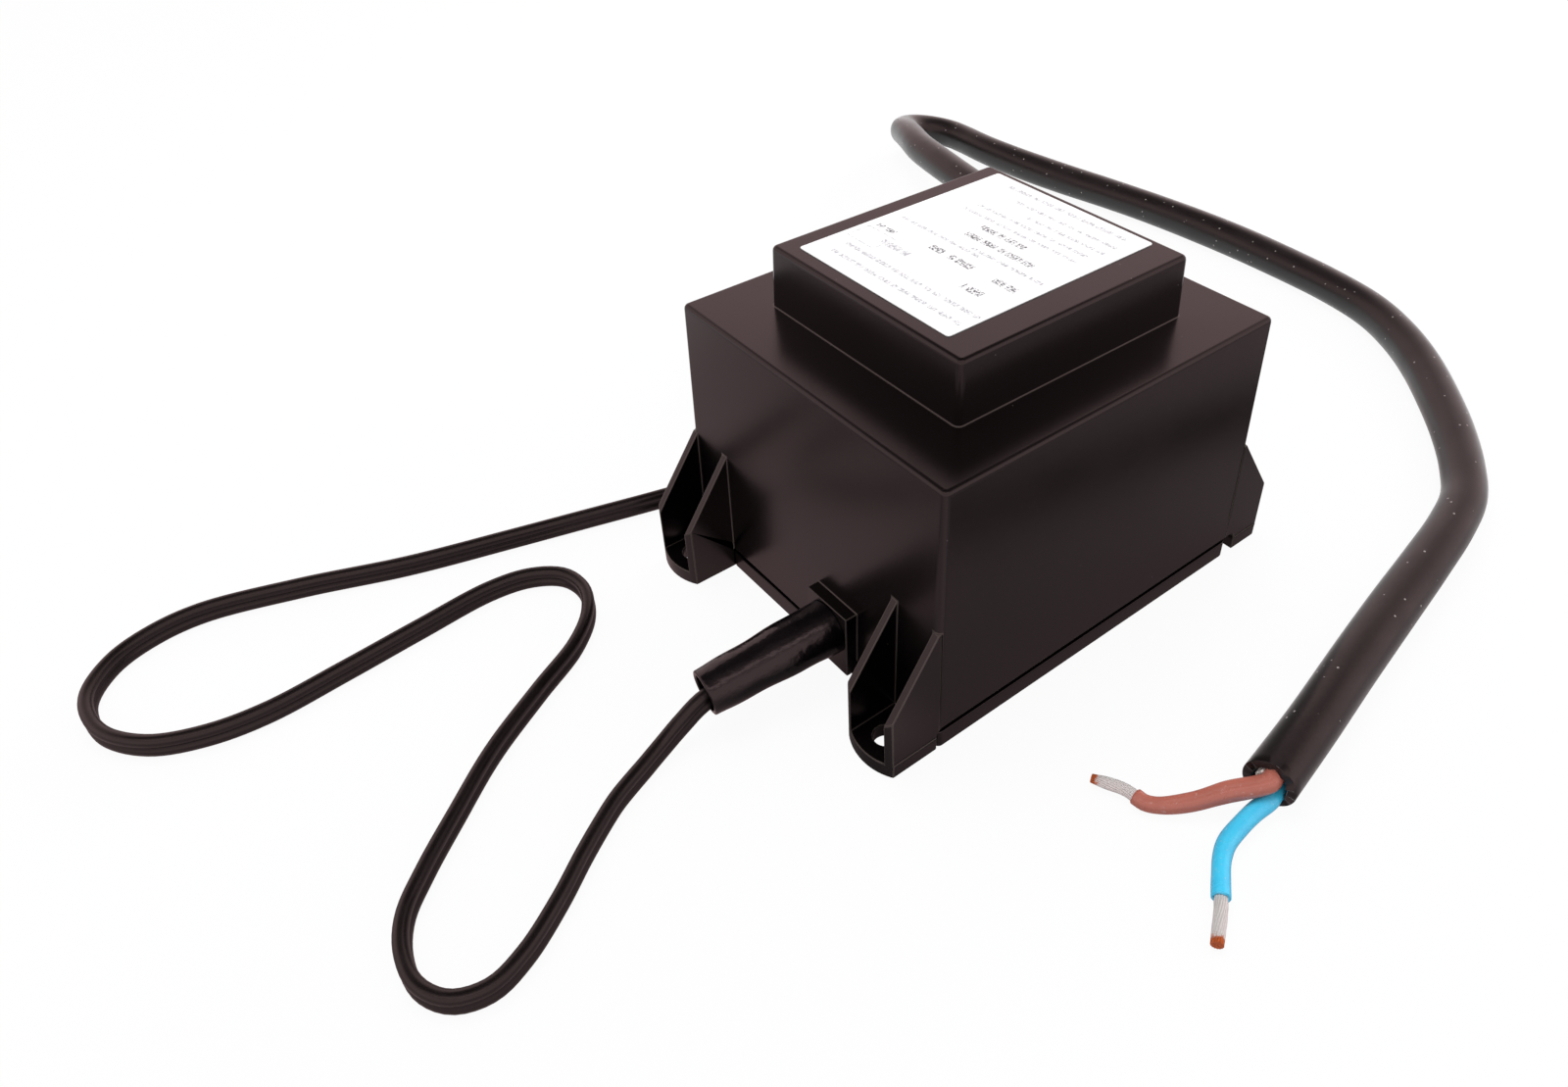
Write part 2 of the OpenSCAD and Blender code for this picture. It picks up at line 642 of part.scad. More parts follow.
module flat_tube(path) {
    tube(path, flat_cord_thickness / 2, flat_cord_width / 2, cord_sides);
}
module flat_cord_root() {
    color([0.1, 0.1, 0.1]) flat_tube(flat_root_path);
}
module flat_cord() {
    color([0.1, 0.1, 0.1]) flat_tube(flat_route);
}
module flat_cord_tail() {
    color([0.1, 0.1, 0.1]) flat_tube(tail_path);
}
module flat_cord_coil() {
    color([0.12, 0.12, 0.12]) translate([coil_centre[0], coil_centre[1], tie_thickness])
        rotate_extrude($fn = 96) translate([coil_inner_radius, 0])
            square([coil_outer_radius - coil_inner_radius, coil_height]);
}
module coil_tie() {
    gap = 0.3;
    low = coil_inner_radius - gap;
    high = coil_outer_radius + gap;
    color([0.2, 0.2, 0.2]) translate([coil_centre[0], coil_centre[1], 0]) rotate([0, 0, 180])
        difference() {
            translate([low - tie_thickness, -tie_width / 2, 0])
                cube([high - low + 2 * tie_thickness, tie_width, coil_height + 2 * tie_thickness + gap]);
            translate([low, -tie_width, tie_thickness])
                cube([high - low, 2 * tie_width, coil_height + gap]);
        }
}

// The flat two-pin plug, drawn along its own axis from the cord's end
module at_plug() {
    translate([plug_position[0], plug_position[1], 0]) rotate([0, 0, -90]) children();
}
module plug_body() {
    flank = plug_length * 0.45;
    front = plug_front_width / 2;
    root = plug_root_width / 2;
    color([0.09, 0.09, 0.09]) at_plug() difference() {
        linear_extrude(plug_height) polygon([[0, -root], [flank * 0.35, -root], [flank, -front + 2],
            [plug_length - 7, -front], [plug_length, -front + 5], [plug_length, front - 5],
            [plug_length - 7, front], [flank, front - 2], [flank * 0.35, root], [0, root]]);
        for (side = [-1, 1])
            translate([plug_length - plug_sleeve_length, side * plug_pin_spacing / 2, plug_height / 2])
                rotate([0, 90, 0]) cylinder(h = plug_sleeve_length + overlap, r = plug_pin_radius);
    }
}
module plug_pins() {
    color([0.78, 0.74, 0.6]) at_plug() for (side = [-1, 1])
        translate([plug_length - plug_sleeve_length, side * plug_pin_spacing / 2, plug_height / 2])
            rotate([0, 90, 0]) {
                cylinder(h = plug_sleeve_length + plug_pin_length - plug_pin_radius, r = plug_pin_radius);
                translate([0, 0, plug_sleeve_length + plug_pin_length - plug_pin_radius])
                    sphere(plug_pin_radius);
            }
}

module round_cable_root() {
    color([0.09, 0.09, 0.09])
        translate([root_end_x, boss_offset, boss_axis_height]) rotate([0, 90, 0])
            cylinder(h = round_route[0][0] - root_end_x, d = round_cable_diameter);
}
module round_tube(path, diameter, sides) {
    tube(path, diameter / 2, diameter / 2, sides);
}
module round_cable() {
    color([0.1, 0.09, 0.09]) round_tube(round_route, round_cable_diameter, cable_sides);
}
module brown_core() {
    color([0.48, 0.33, 0.3]) round_tube(brown_path, wire_diameter, cable_sides);
}
module blue_core() {
    color([0.1, 0.6, 0.85]) round_tube(blue_path, wire_diameter, cable_sides);
}
module brown_conductor() {
    color([0.8, 0.76, 0.7]) round_tube(brown_strand_path, strand_diameter, cord_sides);
}
module blue_conductor() {
    color([0.8, 0.76, 0.7]) round_tube(blue_strand_path, strand_diameter, cord_sides);
}

housing();
base_plate();
rating_label();
potting_resin();
core_e_stack();
core_i_stack();
core_screws();
core_nuts();
bobbin();
primary_winding();
winding_insulation();
secondary_winding();
outer_wrap();
thermal_cutout();
cutout_leads();
primary_leads();
secondary_leads();
primary_splices();
secondary_splices();
cord_sleeve();
cable_grommet();
flat_cord_root();
round_cable_root();
flat_cord();
flat_cord_coil();
flat_cord_tail();
coil_tie();
plug_body();
plug_pins();
round_cable();
brown_core();
blue_core();
brown_conductor();
blue_conductor();
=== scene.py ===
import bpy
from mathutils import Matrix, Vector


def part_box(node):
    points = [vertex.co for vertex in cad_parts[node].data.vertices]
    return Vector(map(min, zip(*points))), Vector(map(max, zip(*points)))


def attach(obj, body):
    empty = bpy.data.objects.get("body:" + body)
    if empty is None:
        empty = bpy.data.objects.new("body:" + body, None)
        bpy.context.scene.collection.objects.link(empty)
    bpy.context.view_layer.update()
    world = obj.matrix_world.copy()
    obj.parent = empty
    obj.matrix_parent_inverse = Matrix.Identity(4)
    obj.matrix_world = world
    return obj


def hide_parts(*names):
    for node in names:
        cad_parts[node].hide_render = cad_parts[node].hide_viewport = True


bl_info = {
    "name": "Potted Power Supply",
    "version": (1, 0, 0),
    "blender": (4, 5, 0),
    "location": "3D View > Sidebar > Power Supply",
    "description": "Dresses the model of a potted power supply with its finishes, cords and stage",
    "category": "Object",
}

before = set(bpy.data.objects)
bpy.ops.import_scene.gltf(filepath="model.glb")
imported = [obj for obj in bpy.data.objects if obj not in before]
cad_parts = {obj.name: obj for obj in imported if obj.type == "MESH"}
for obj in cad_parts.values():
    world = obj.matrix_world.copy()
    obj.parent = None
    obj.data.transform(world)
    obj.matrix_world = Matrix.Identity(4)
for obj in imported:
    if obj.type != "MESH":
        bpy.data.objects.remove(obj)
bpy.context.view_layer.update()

import math
import random

import bmesh
import bpy
from bpy.props import FloatProperty, FloatVectorProperty, IntProperty, PointerProperty
from bpy.types import Operator, Panel, PropertyGroup
from mathutils import Matrix, Vector

MM = 0.001
IMAGE = (1600, 1109)

# The photograph's viewpoint: turn, height and roll in degrees, place in millimetres, and the
# focal length and the middle of the view in pixels of the photo
VIEW_ANGLES = (-38.331, 37.627, -0.757)
VIEW_PLACE = (-174.1, -175.0, 218.5)
FOCAL_PIXELS = 1197.342
MIDDLE_PIXEL = (876.856, 470.926)
SENSOR_WIDTH = 36
# The level direction from the camera into the scene
AWAY = (0.62, 0.785, 0)


def linear(hex_colour):
    """A linear RGB triple from an sRGB hex value such as #1a2b3c."""
    parts = [int(hex_colour[i:i + 2], 16) / 255 for i in (1, 3, 5)]
    return tuple(v / 12.92 if v <= 0.04045 else ((v + 0.055) / 1.055) ** 2.4 for v in parts)


# Routes of the cords, in millimetres, as the part's source has them

def metres(points):
    return [Vector(p) * MM for p in points]


def at_height(z, places):
    return [(x, y, z) for x, y in places]


BOSS_FACE = 56.65
FLAT_EXIT = Vector((-BOSS_FACE, -13, 14.4))
# The length in metres over which the cores turn once inside the round cable
LAY_OF_CORES = 0.19
# Heights of the cords' middles where they lie on the floor
FLAT_HEIGHT, ROUND_HEIGHT = 3.1, 6.3
SLEEVE_STEPS = [
    (6.2, 0, 0), (0, 0, 0), (-1.7, 0, 0), (-5.6, 0.4, -0.2), (-12.2, 1.1, -0.8),
    (-19.2, 1.9, -1.6), (-26.2, 2.7, -2.4), (-32.8, 3.5, -3.2)]
ROOT_STEPS = [
    (4.6, 0, 0), (-1.4, 0, -0.1), (-5.6, 0.4, -0.4), (-12.2, 1.1, -1.1), (-18.2, 1.8, -1.9),
    (-24, 2.5, -2.95), (-29.95, 3.1, -4)]
FLAT_ROUTE = [
    (-89.65, -9.6, 9.87), (-92.4, -9.6, 8.9), (-95.5, -9.9, 7.4), (-99, -10.3, 5.7),
    (-103.4, -11.3, 4.1), (-108.4, -13, 3.3),
    *at_height(FLAT_HEIGHT, [
        (-113.2, -14.8), (-118.2, -17), (-124.5, -20.8), (-130.5, -24.8), (-139.4, -31.2),
        (-150, -37.4), (-158, -39.6), (-165, -37), (-168.8, -30.5), (-168.4, -22), (-165, -14.5),
        (-158, -7.4), (-147, 1.8), (-133.5, 12.5), (-117, 22.5), (-103, 30.5), (-95, 38.6),
        (-91.8, 47), (-93.5, 55), (-100.5, 60.5), (-111, 62.6), (-131, 61), (-151, 59),
        (-170, 57.6), (-183, 59.6), (-194.5, 65.2), (-202, 75.5), (-202.4, 88.5), (-195, 98),
        (-185, 102.2), (-173, 102.8), (-150, 96), (-124, 86), (-98, 78.5), (-78, 73), (-58, 67.5),
        (-38, 62.5), (-18, 58)]),
    (0, 55.6, 3.2), (15, 54.8, 3.5)]
# The coil: its middle, its turns, and the radii of its run from the outside in
COIL_CENTRE, COIL_HEIGHT = (30, 98), 3.7
COIL_TURNS, COIL_STATIONS = 4, 24
COIL_START, COIL_OUTER, COIL_INNER, COIL_END = 43.25, 41.4, 27, 25.1
TAIL_ROUTE = [
    (40, 74.9, 4.3), (48.4, 81.2, 5.8), (53.2, 89.8, 8), (54.9, 98.5, 10.1), (57.5, 107, 10.2),
    (63, 115, 10.2), (70.5, 119.8, 10.1), (79, 120.4, 9), (85.6, 116.6, 7.8), (88.3, 110, 7.1),
    (88.3, 104.3, 7)]
ROUND_ROUTE = [
    (44, 13, 14.4), (52, 13, 14.4), (61.7, 13, 14.4), (68, 13, 14.4), (78, 13.6, 14.3),
    (90, 17, 14.1), (102, 24, 14), (112, 34, 14.2), (120, 50, 15), (125, 70, 16.4), (128, 92, 18),
    (130, 114, 19.4), (133, 138, 20), (138, 162, 19.8), (144.6, 183, 18.3), (151, 196, 16.8),
    (156.6, 206.2, 14.8), (160.4, 212.2, 13), (165, 216.1, 11.2), (171, 217.6, 9.6),
    (177.1, 216.1, 8.2), (182, 212.2, 7.1), (184.8, 206.6, 6.5),
    *at_height(ROUND_HEIGHT, [
        (185.4, 199), (184.8, 184), (185.8, 163.5), (188.6, 140), (192.2, 118), (195, 96.4),
        (196.6, 76), (197.2, 56), (196.6, 36), (194.6, 13.2), (190.2, -6), (181.8, -22.2),
        (171.2, -36.2), (158.6, -49.4), (144.6, -62.4), (131.2, -72.8), (118.2, -80.6),
        (103.6, -85), (84.6, -88.7), (62.4, -92.6), (38.4, -97), (14.6, -101.6), (-6.4, -105.2)])]
BROWN_ROUTE = [
    (-2.54, -104.93, 8.5), (-6.48, -105.62, 8.5), (-7.86, -105.86, 8.5), (-10.6, -104.2, 7.6),
    (-14.9, -100.8, 5.9), (-21.5, -96.7, 3.7), (-26.6, -92.6, 2.55), (-28.6, -89.9, 2.4),
    (-28.9, -87.6, 2.4)]
BROWN_STRANDS = [
    (-28.91, -87.55, 2.4), (-29.25, -84.95, 2.4), (-32.5, -77.9, 2)]
BLUE_ROUTE = [
    (-2.34, -106.12, 3.9), (-6.28, -106.8, 3.9), (-8.25, -107.14, 3.9), (-12.8, -106.8, 3.5),
    (-17.9, -106.9, 2.9), (-23, -107.5, 2.45), (-26.9, -109.2, 2.4), (-31.3, -112.3, 2.4),
    (-34.4, -114.7, 2.4)]
BLUE_STRANDS = [
    (-34.44, -114.73, 2.4), (-36.2, -116.1, 2.4), (-43.2, -120.6, 2)]


# Sizes and colours that a user would change

def tint(name, text, hex_colour):
    return FloatVectorProperty(name=name, description=text, subtype="COLOR", size=3,
                               min=0, max=1, default=linear(hex_colour))


def length(name, text, millimetres):
    return FloatProperty(name=name, description=text, subtype="DISTANCE", unit="LENGTH",
                         min=0, default=millimetres * MM)


class SupplyColours(PropertyGroup):
    housing: tint("Housing", "Moulded thermoplastic of the housing", "#050303")
    # Edges: a painted highlight, a paler colour on the housing's rounded edges that stands in for
    # the thin lines of light along them
    edges: tint("Edges", "Edges of the housing, rubbed paler", "#3c3633")
    plate: tint("Base plate", "Moulded thermoplastic of the base plate", "#050303")
    label: tint("Label", "White film of the rating label", "#fafafa")
    ink: tint("Ink", "Thin print on the label", "#b4b4ba")
    bold_ink: tint("Bold ink", "Heavy print on the label", "#55555c")
    sleeve: tint("Sleeve", "Glossy vinyl of the cord sleeve", "#060507")
    flat_cord: tint("Flat cord", "Vinyl of the flat twin cord", "#0a0706")
    cable: tint("Cable", "Rubber sheath of the round cable", "#0f0b0a")
    brown: tint("Brown core", "Insulation of the brown core", "#b5695a")
    blue: tint("Blue core", "Insulation of the blue core", "#47ceff")
    tin: tint("Tin", "Tinned strands", "#f3f1ee")
    copper: tint("Copper", "Bare copper at the cut ends", "#d9713d")


class SupplySizes(PropertyGroup):
    cord_width: length("Cord width", "Width of the flat twin cord", 6.2)
    cord_thickness: length("Cord thickness", "Thickness of the flat twin cord", 3.3)
    cord_groove: length("Cord groove", "Depth of the groove between the twin cord's cores", 0.6)
    cable_diameter: length("Cable diameter", "Outer diameter of the round cable", 12.6)
    sheath_wall: length("Sheath wall", "Thickness of the round cable's sheath at the cut", 2.3)
    core_diameter: length("Core diameter", "Outer diameter of each insulated core", 4.7)
    strand_radius: length("Strand radius", "Radius of one drawn strand", 0.27)
    bundle_radius: length("Bundle radius", "Radius of the stranded conductor", 1.45)
    sleeve_root: length("Sleeve root", "Outer radius of the sleeve at the boss", 7)
    sleeve_mouth: length("Sleeve mouth", "Outer radius of the sleeve at its mouth", 5.8)
    sleeve_wall: length("Sleeve wall", "Wall of the sleeve at its mouth", 1.3)
    edge_bevel: length("Edge bevel", "Rounding of the moulding's sharp edges", 0.3)
    outer_strands: IntProperty(name="Outer strands", description="Strands in the outer layer",
                               default=15, min=6, max=30)


# Meshes

def piece(name, mesh, material, sharp=None, smooth=True):
    """Links a mesh as a piece of the object, riding on its one body."""
    thing = bpy.data.objects.new(name, mesh)
    bpy.context.scene.collection.objects.link(thing)
    if material is not None:
        mesh.materials.clear()
        mesh.materials.append(material)
    if smooth:
        mesh.shade_smooth()
    if sharp is not None:
        mesh.set_sharp_from_angle(angle=math.radians(sharp))
    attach(thing, "root")
    return thing


def finish_node(node, material):
    """Gives a CAD node that is shown as it is its finish."""
    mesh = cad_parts[node].data
    mesh.materials.clear()
    mesh.materials.append(material)


def smooth_path(points, step):
    """Evenly spaced points on a centripetal Catmull-Rom curve through the given ones."""
    ends = [points[0] * 2 - points[1]] + list(points) + [points[-1] * 2 - points[-2]]
    dense = []
    for p0, p1, p2, p3 in zip(ends, ends[1:], ends[2:], ends[3:]):
        t1 = (p1 - p0).length ** 0.5
        t2 = t1 + (p2 - p1).length ** 0.5
        t3 = t2 + (p3 - p2).length ** 0.5
        count = max(4, math.ceil((p2 - p1).length / step * 2))
        for i in range(count):
            t = t1 + (t2 - t1) * i / count
            a1 = p0.lerp(p1, t / t1)
            a2 = p1.lerp(p2, (t - t1) / (t2 - t1))
            a3 = p2.lerp(p3, (t - t2) / (t3 - t2))
            b1 = a1.lerp(a2, t / t2)
            b2 = a2.lerp(a3, (t - t1) / (t3 - t1))
            dense.append(b1.lerp(b2, (t - t1) / (t2 - t1)))
    dense.append(points[-1].copy())
    total = sum((b - a).length for a, b in zip(dense, dense[1:]))
    spacing = total / max(1, round(total / step))
    even, gone, target = [dense[0]], 0.0, spacing
    for a, b in zip(dense, dense[1:]):
        leg = (b - a).length
        while leg > 0 and gone + leg >= target - 1e-12 and len(even) < round(total / spacing):
            even.append(a.lerp(b, (target - gone) / leg))
            target += spacing
        gone += leg
    even.append(dense[-1])
    return even


def path_length(path):
    return sum((b - a).length for a, b in zip(path, path[1:]))


def frames_along(path):
    """Tangent, side and up at each point, with up as near to +Z as the path allows."""
    found = []
    for i, point in enumerate(path):
        tangent = (path[min(i + 1, len(path) - 1)] - path[max(i - 1, 0)]).normalized()
        side = tangent.cross(Vector((0, 0, 1))).normalized()
        found.append((point, tangent, side, side.cross(tangent)))
    return found


def closed_ring(count, reach):
    """The points of a ring whose radius is a function of the angle."""
    angles = [math.tau * k / count for k in range(count)]
    return [(reach(a) * math.cos(a), reach(a) * math.sin(a)) for a in angles]


def circle(radius, count):
    return closed_ring(count, lambda angle: radius)


def bridge(bm, ring, following):
    """Joins two rings of vertices with faces, and gives the faces."""
    faces = []
    for k in range(len(ring)):
        n = (k + 1) % len(ring)
        faces.append(bm.faces.new((ring[k], ring[n], following[n], following[k])))
    return faces


def write_solid(bm, mesh):
    """Turns the faces outward, writes them to the mesh and frees the working copy."""
    bmesh.ops.recalc_face_normals(bm, faces=bm.faces)
    bm.to_mesh(mesh)
    bm.free()
    return mesh


def sweep(name, path, outline, open_end=False):
    """A mesh swept along a path. outline(share, gone) gives the ring's (side, up) offsets."""
    mesh = bpy.data.meshes.new(name)
    bm = bmesh.new()
    layer = bm.loops.layers.uv.new("Along")
    rings, gones, gone = [], [], 0.0
    stations = frames_along(path)
    for i, (point, tangent, side, up) in enumerate(stations):
        if i:
            gone += (point - stations[i - 1][0]).length
        gones.append(gone)
        rings.append([bm.verts.new(point + side * x + up * y)
                      for x, y in outline(i / (len(path) - 1), gone)])
    count = len(rings[0])
    for i in range(len(rings) - 1):
        for k, face in enumerate(bridge(bm, rings[i], rings[i + 1])):
            here, there = k / count, (k + 1) / count
            for loop, uv in zip(face.loops, ((here, gones[i]), (there, gones[i]),
                                             (there, gones[i + 1]), (here, gones[i + 1]))):
                loop[layer].uv = uv
    bm.faces.new(list(reversed(rings[0])))
    if not open_end:
        bm.faces.new(rings[-1])
    return write_solid(bm, mesh)


def roll_cut(mesh, path, count, radius, steps, rough):
    """Rolls the open end of a sweep over and carries it back inside as a bore.

    Each step is an inset from the radius and a depth past the end. rough(step, k) roughens it.
    """
    bm = bmesh.new()
    bm.from_mesh(mesh)
    bm.verts.ensure_lookup_table()
    previous = [bm.verts[len(bm.verts) - count + k] for k in range(count)]
    point, tangent, side, up = frames_along(path)[-1]
    for step, (inset, depth) in enumerate(steps):
        ring = [bm.verts.new(point + side * x + up * y + tangent * (depth + rough(step, k)))
                for k, (x, y) in enumerate(circle(radius - inset, count))]
        bridge(bm, previous, ring)
        previous = ring
    bm.faces.new(previous)
    write_solid(bm, mesh)


def plain_mesh(thing, name):
    """The mesh of an object with its modifiers run, which are then removed."""
    graph = bpy.context.evaluated_depsgraph_get()
    mesh = bpy.data.meshes.new_from_object(thing.evaluated_get(graph))
    thing.modifiers.clear()
    mesh.name = name
    return mesh


def bevelled_copy(node, name, width, material, segments=2, highlit=None):
    """A merged copy of a CAD node whose sharp edges are rounded, standing for that node, with a
    painted highlight on the rounding when a highlight material is given.
    """
    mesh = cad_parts[node].data.copy()
    mesh.name = name
    bm = bmesh.new()
    bm.from_mesh(mesh)
    bmesh.ops.remove_doubles(bm, verts=bm.verts, dist=0.02 * MM)
    bmesh.ops.dissolve_limit(bm, angle_limit=math.radians(0.6), verts=bm.verts, edges=bm.edges)
    bm.normal_update()
    bm.to_mesh(mesh)
    bm.free()
    mesh.normals_split_custom_set([(0, 0, 0)] * len(mesh.loops))
    thing = piece(name, mesh, material)
    bevel = thing.modifiers.new("Rounded edges", "BEVEL")
    bevel.width = width
    bevel.segments = segments
    bevel.limit_method = "ANGLE"
    bevel.angle_limit = math.radians(28)
    # The housing's short edges would otherwise hold the rounding of all its edges down
    bevel.use_clamp_overlap = highlit is None
    # Painted highlight: the rounding takes the paler material, standing in for the light along the
    # edges
    if highlit is not None:
        mesh.materials.append(highlit)
        bevel.material = 1
    # Flat faces keep their own normals, so that the light runs over them evenly
    flats = thing.modifiers.new("Flat faces", "WEIGHTED_NORMAL")
    flats.mode = "FACE_AREA"
    flats.keep_sharp = False
    thing.data = plain_mesh(thing, name)
    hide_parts(node)


# Node trees

def put(tree, kind, inputs=None, **settings):
    """Adds a node with its settings, and fills its inputs with values or links."""
    node = tree.nodes.new(kind)
    for key, value in settings.items():
        setattr(node, key, value)
    for key, value in (inputs or {}).items():
        if isinstance(value, bpy.types.NodeSocket):
            tree.links.new(value, node.inputs[key])
        else:
            node.inputs[key].default_value = value
    return node


def first(tree, kind, inputs=None, **settings):
    """Adds a node and gives its first output."""
    return put(tree, kind, inputs, **settings).outputs[0]


def calc(tree, operation, *values):
    """An operation on numbers."""
    return first(tree, "ShaderNodeMath", dict(enumerate(values)), operation=operation)


def ramp(tree, value, start, end, low, high, kind="LINEAR"):
    """Carries a value between start and end to one between low and high."""
    return first(tree, "ShaderNodeMapRange", {0: value, 1: start, 2: end, 3: low, 4: high},
                 interpolation_type=kind)


def eased(tree, value, start, end, low, high):
    return ramp(tree, value, start, end, low, high, "SMOOTHSTEP")


def blend(tree, share, colour, other):
    """A colour between two."""
    return put(tree, "ShaderNodeMix", {0: share, 6: colour, 7: other}, data_type="RGBA").outputs[2]


def between(tree, share, value, other):
    """A number between two."""
    return first(tree, "ShaderNodeMix", {0: share, 2: value, 3: other}, data_type="FLOAT")


def along_view(tree, place, direction):
    """How far a place or a direction reaches along a level direction."""
    return put(tree, "ShaderNodeVectorMath", {0: place, 1: direction},
               operation="DOT_PRODUCT").outputs["Value"]


def axis(tree, place, index):
    """One coordinate of a place or a direction."""
    return put(tree, "ShaderNodeSeparateXYZ", {0: place}).outputs[index]


def per_mm(size):
    """The texture scale at which one feature is this many millimetres wide."""
    return 1 / (size * MM)


def noise(tree, coordinates, size_mm, detail, roughness=0.5):
    return first(tree, "ShaderNodeTexNoise", {"Vector": coordinates, "Scale": per_mm(size_mm),
                                              "Detail": detail, "Roughness": roughness})


def drawn_noise(tree, around, length_mm, detail, roughness=0.5):
    """A noise drawn out along a cord, from the cord's own UV map."""
    along = first(tree, "ShaderNodeUVMap", uv_map="Along")
    drawn = first(tree, "ShaderNodeMapping", {0: along, 3: (around, per_mm(length_mm), 1)})
    return first(tree, "ShaderNodeTexNoise", {"Vector": drawn, "Scale": 1.0, "Detail": detail,
                                              "Roughness": roughness})


def bump(tree, height, strength, depth_mm):
    return first(tree, "ShaderNodeBump", {"Height": height, "Strength": strength,
                                          "Distance": depth_mm * MM})


def rgba(colour, share=1.0):
    return tuple(min(1.0, v * share) for v in colour[:3]) + (1.0,)


def mottled(tree, coordinates, colour, low, high, size_mm):
    """A colour that wanders between two shares of itself over patches of a given size."""
    return blend(tree, noise(tree, coordinates, size_mm, 4.0, 0.55), rgba(colour, low),
                 rgba(colour, high))


def grain(tree, coordinates, size_mm, strength, depth_mm=0.02):
    """A fine bump for a moulded or cast grain."""
    return bump(tree, noise(tree, coordinates, size_mm, 3.0), strength, depth_mm)


def wandering(tree, coordinates, low, high, size_mm):
    """A number that wanders between two values, for roughness."""
    return ramp(tree, noise(tree, coordinates, size_mm, 4.0), 0.3, 0.7, low, high)


def specks(tree, place, pitch_mm, reach, amount):
    """Sparse specks: spots of this reach, in about one in four cells of this pitch."""
    cells = put(tree, "ShaderNodeTexVoronoi", {"Vector": place, "Scale": per_mm(pitch_mm)}).outputs
    near = calc(tree, "LESS_THAN", cells["Distance"], reach)
    pick = first(tree, "ShaderNodeSeparateColor", {0: cells["Color"]})
    few = calc(tree, "GREATER_THAN", pick, 0.72)
    return calc(tree, "MULTIPLY", calc(tree, "MULTIPLY", near, few), amount)


# Finishes

def new_finish(name):
    """An empty material, its node tree and the object's own coordinates."""
    material = bpy.data.materials.new(name)
    material.use_nodes = True
    tree = material.node_tree
    tree.nodes.clear()
    return material, tree, put(tree, "ShaderNodeTexCoord").outputs["Object"]


def dressed(material, colour, roughness, normal=None, **values):
    """Gives a material its shader: its colour, roughness and relief, and plain values."""
    tree = material.node_tree
    shader = put(tree, "ShaderNodeBsdfPrincipled", {"Base Color": colour, "Roughness": roughness})
    if normal is not None:
        tree.links.new(normal, shader.inputs["Normal"])
    for socket, value in values.items():
        shader.inputs[socket.replace("_", " ")].default_value = value
    put(tree, "ShaderNodeOutputMaterial", {"Surface": shader.outputs[0]})
    return material


def satin_thermoplastic(name, colour, dust=0.5):
    """Spark-finished ABS: near black, a soft sheen from its fine grain, and a little dust."""
    material, tree, place = new_finish(name)
    # Specks of dust about 0.3 mm across, one in each few millimetres
    dusty = blend(tree, specks(tree, place, 4.2, 0.032, dust),
                  mottled(tree, place, colour, 0.75, 1.3, 14), (0.24, 0.2, 0.19, 1))
    # The spark grain is 0.2 mm, drawn at 0.35 mm so that it shows
    return dressed(material, dusty, wandering(tree, place, 0.21, 0.27, 30),
                   grain(tree, place, 0.35, 0.22), IOR=1.53)


def printed_film(name, colour):
    """Polyester label stock: white, smooth and faintly uneven."""
    material, tree, place = new_finish(name)
    return dressed(material, mottled(tree, place, colour, 0.965, 1.0, 9),
                   wandering(tree, place, 0.38, 0.5, 12), grain(tree, place, 1.2, 0.08),
                   Specular_IOR_Level=0.3)


def thermal_print(name, colour):
    """Thermal-transfer ink, broken up along its rows like small print seen from afar."""
    material, tree, place = new_finish(name)
    gaps = ramp(tree, noise(tree, place, 0.55, 2.0), 0.42, 0.52, 0.0, 1.0)
    return dressed(material, blend(tree, gaps, rgba(colour), (0.86, 0.86, 0.87, 1)),
                   wandering(tree, place, 0.4, 0.55, 5))


def glossy_vinyl(name, colour, low, high, coat):
    """Plasticised PVC, extruded: deep black, wet-looking, with slow waves in the skin."""
    material, tree, place = new_finish(name)
    return dressed(material, mottled(tree, place, colour, 0.7, 1.4, 6),
                   wandering(tree, place, low, high, 8), grain(tree, place, 3.5, 0.6, 0.5),
                   IOR=1.54, Coat_Weight=coat, Coat_Roughness=0.12)


def extruded_vinyl(name, colour, low, high):
    """Extruded PVC with die lines that run along the cord and light scuffs."""
    material, tree, place = new_finish(name)
    scuffs = ramp(tree, noise(tree, place, 2.4, 6.0, 0.7), 0.6, 0.75, 0.0, 0.25)
    scuffed = blend(tree, scuffs, mottled(tree, place, colour, 0.8, 1.3, 5), rgba(colour, 3.0))
    die_lines = bump(tree, drawn_noise(tree, 60, 40, 2.0), 0.25, 0.05)
    return dressed(material, scuffed, wandering(tree, place, low, high, 7), die_lines, IOR=1.53)


def talced_rubber(name, colour):
    """Vulcanised rubber sheath: satin, greyed by talc that lies in soft lengthwise streaks."""
    material, tree, place = new_finish(name)
    streaks, powder = drawn_noise(tree, 14, 26, 5.0, 0.6), noise(tree, place, 0.8, 6.0)
    both = calc(tree, "MULTIPLY", streaks, powder)
    smeared = blend(tree, ramp(tree, both, 0.18, 0.38, 0.0, 1.0), rgba(colour, 0.7),
                    rgba(colour, 1.7))
    # Grains of talc about 0.5 mm across lie over the smears
    dusted = blend(tree, specks(tree, place, 2.2, 0.13, 0.8), smeared, (0.42, 0.38, 0.37, 1))
    return dressed(material, dusted, wandering(tree, place, 0.32, 0.44, 10),
                   grain(tree, place, 0.5, 0.3, 0.03), IOR=1.52, Sheen_Weight=0.6,
                   Sheen_Roughness=0.3)


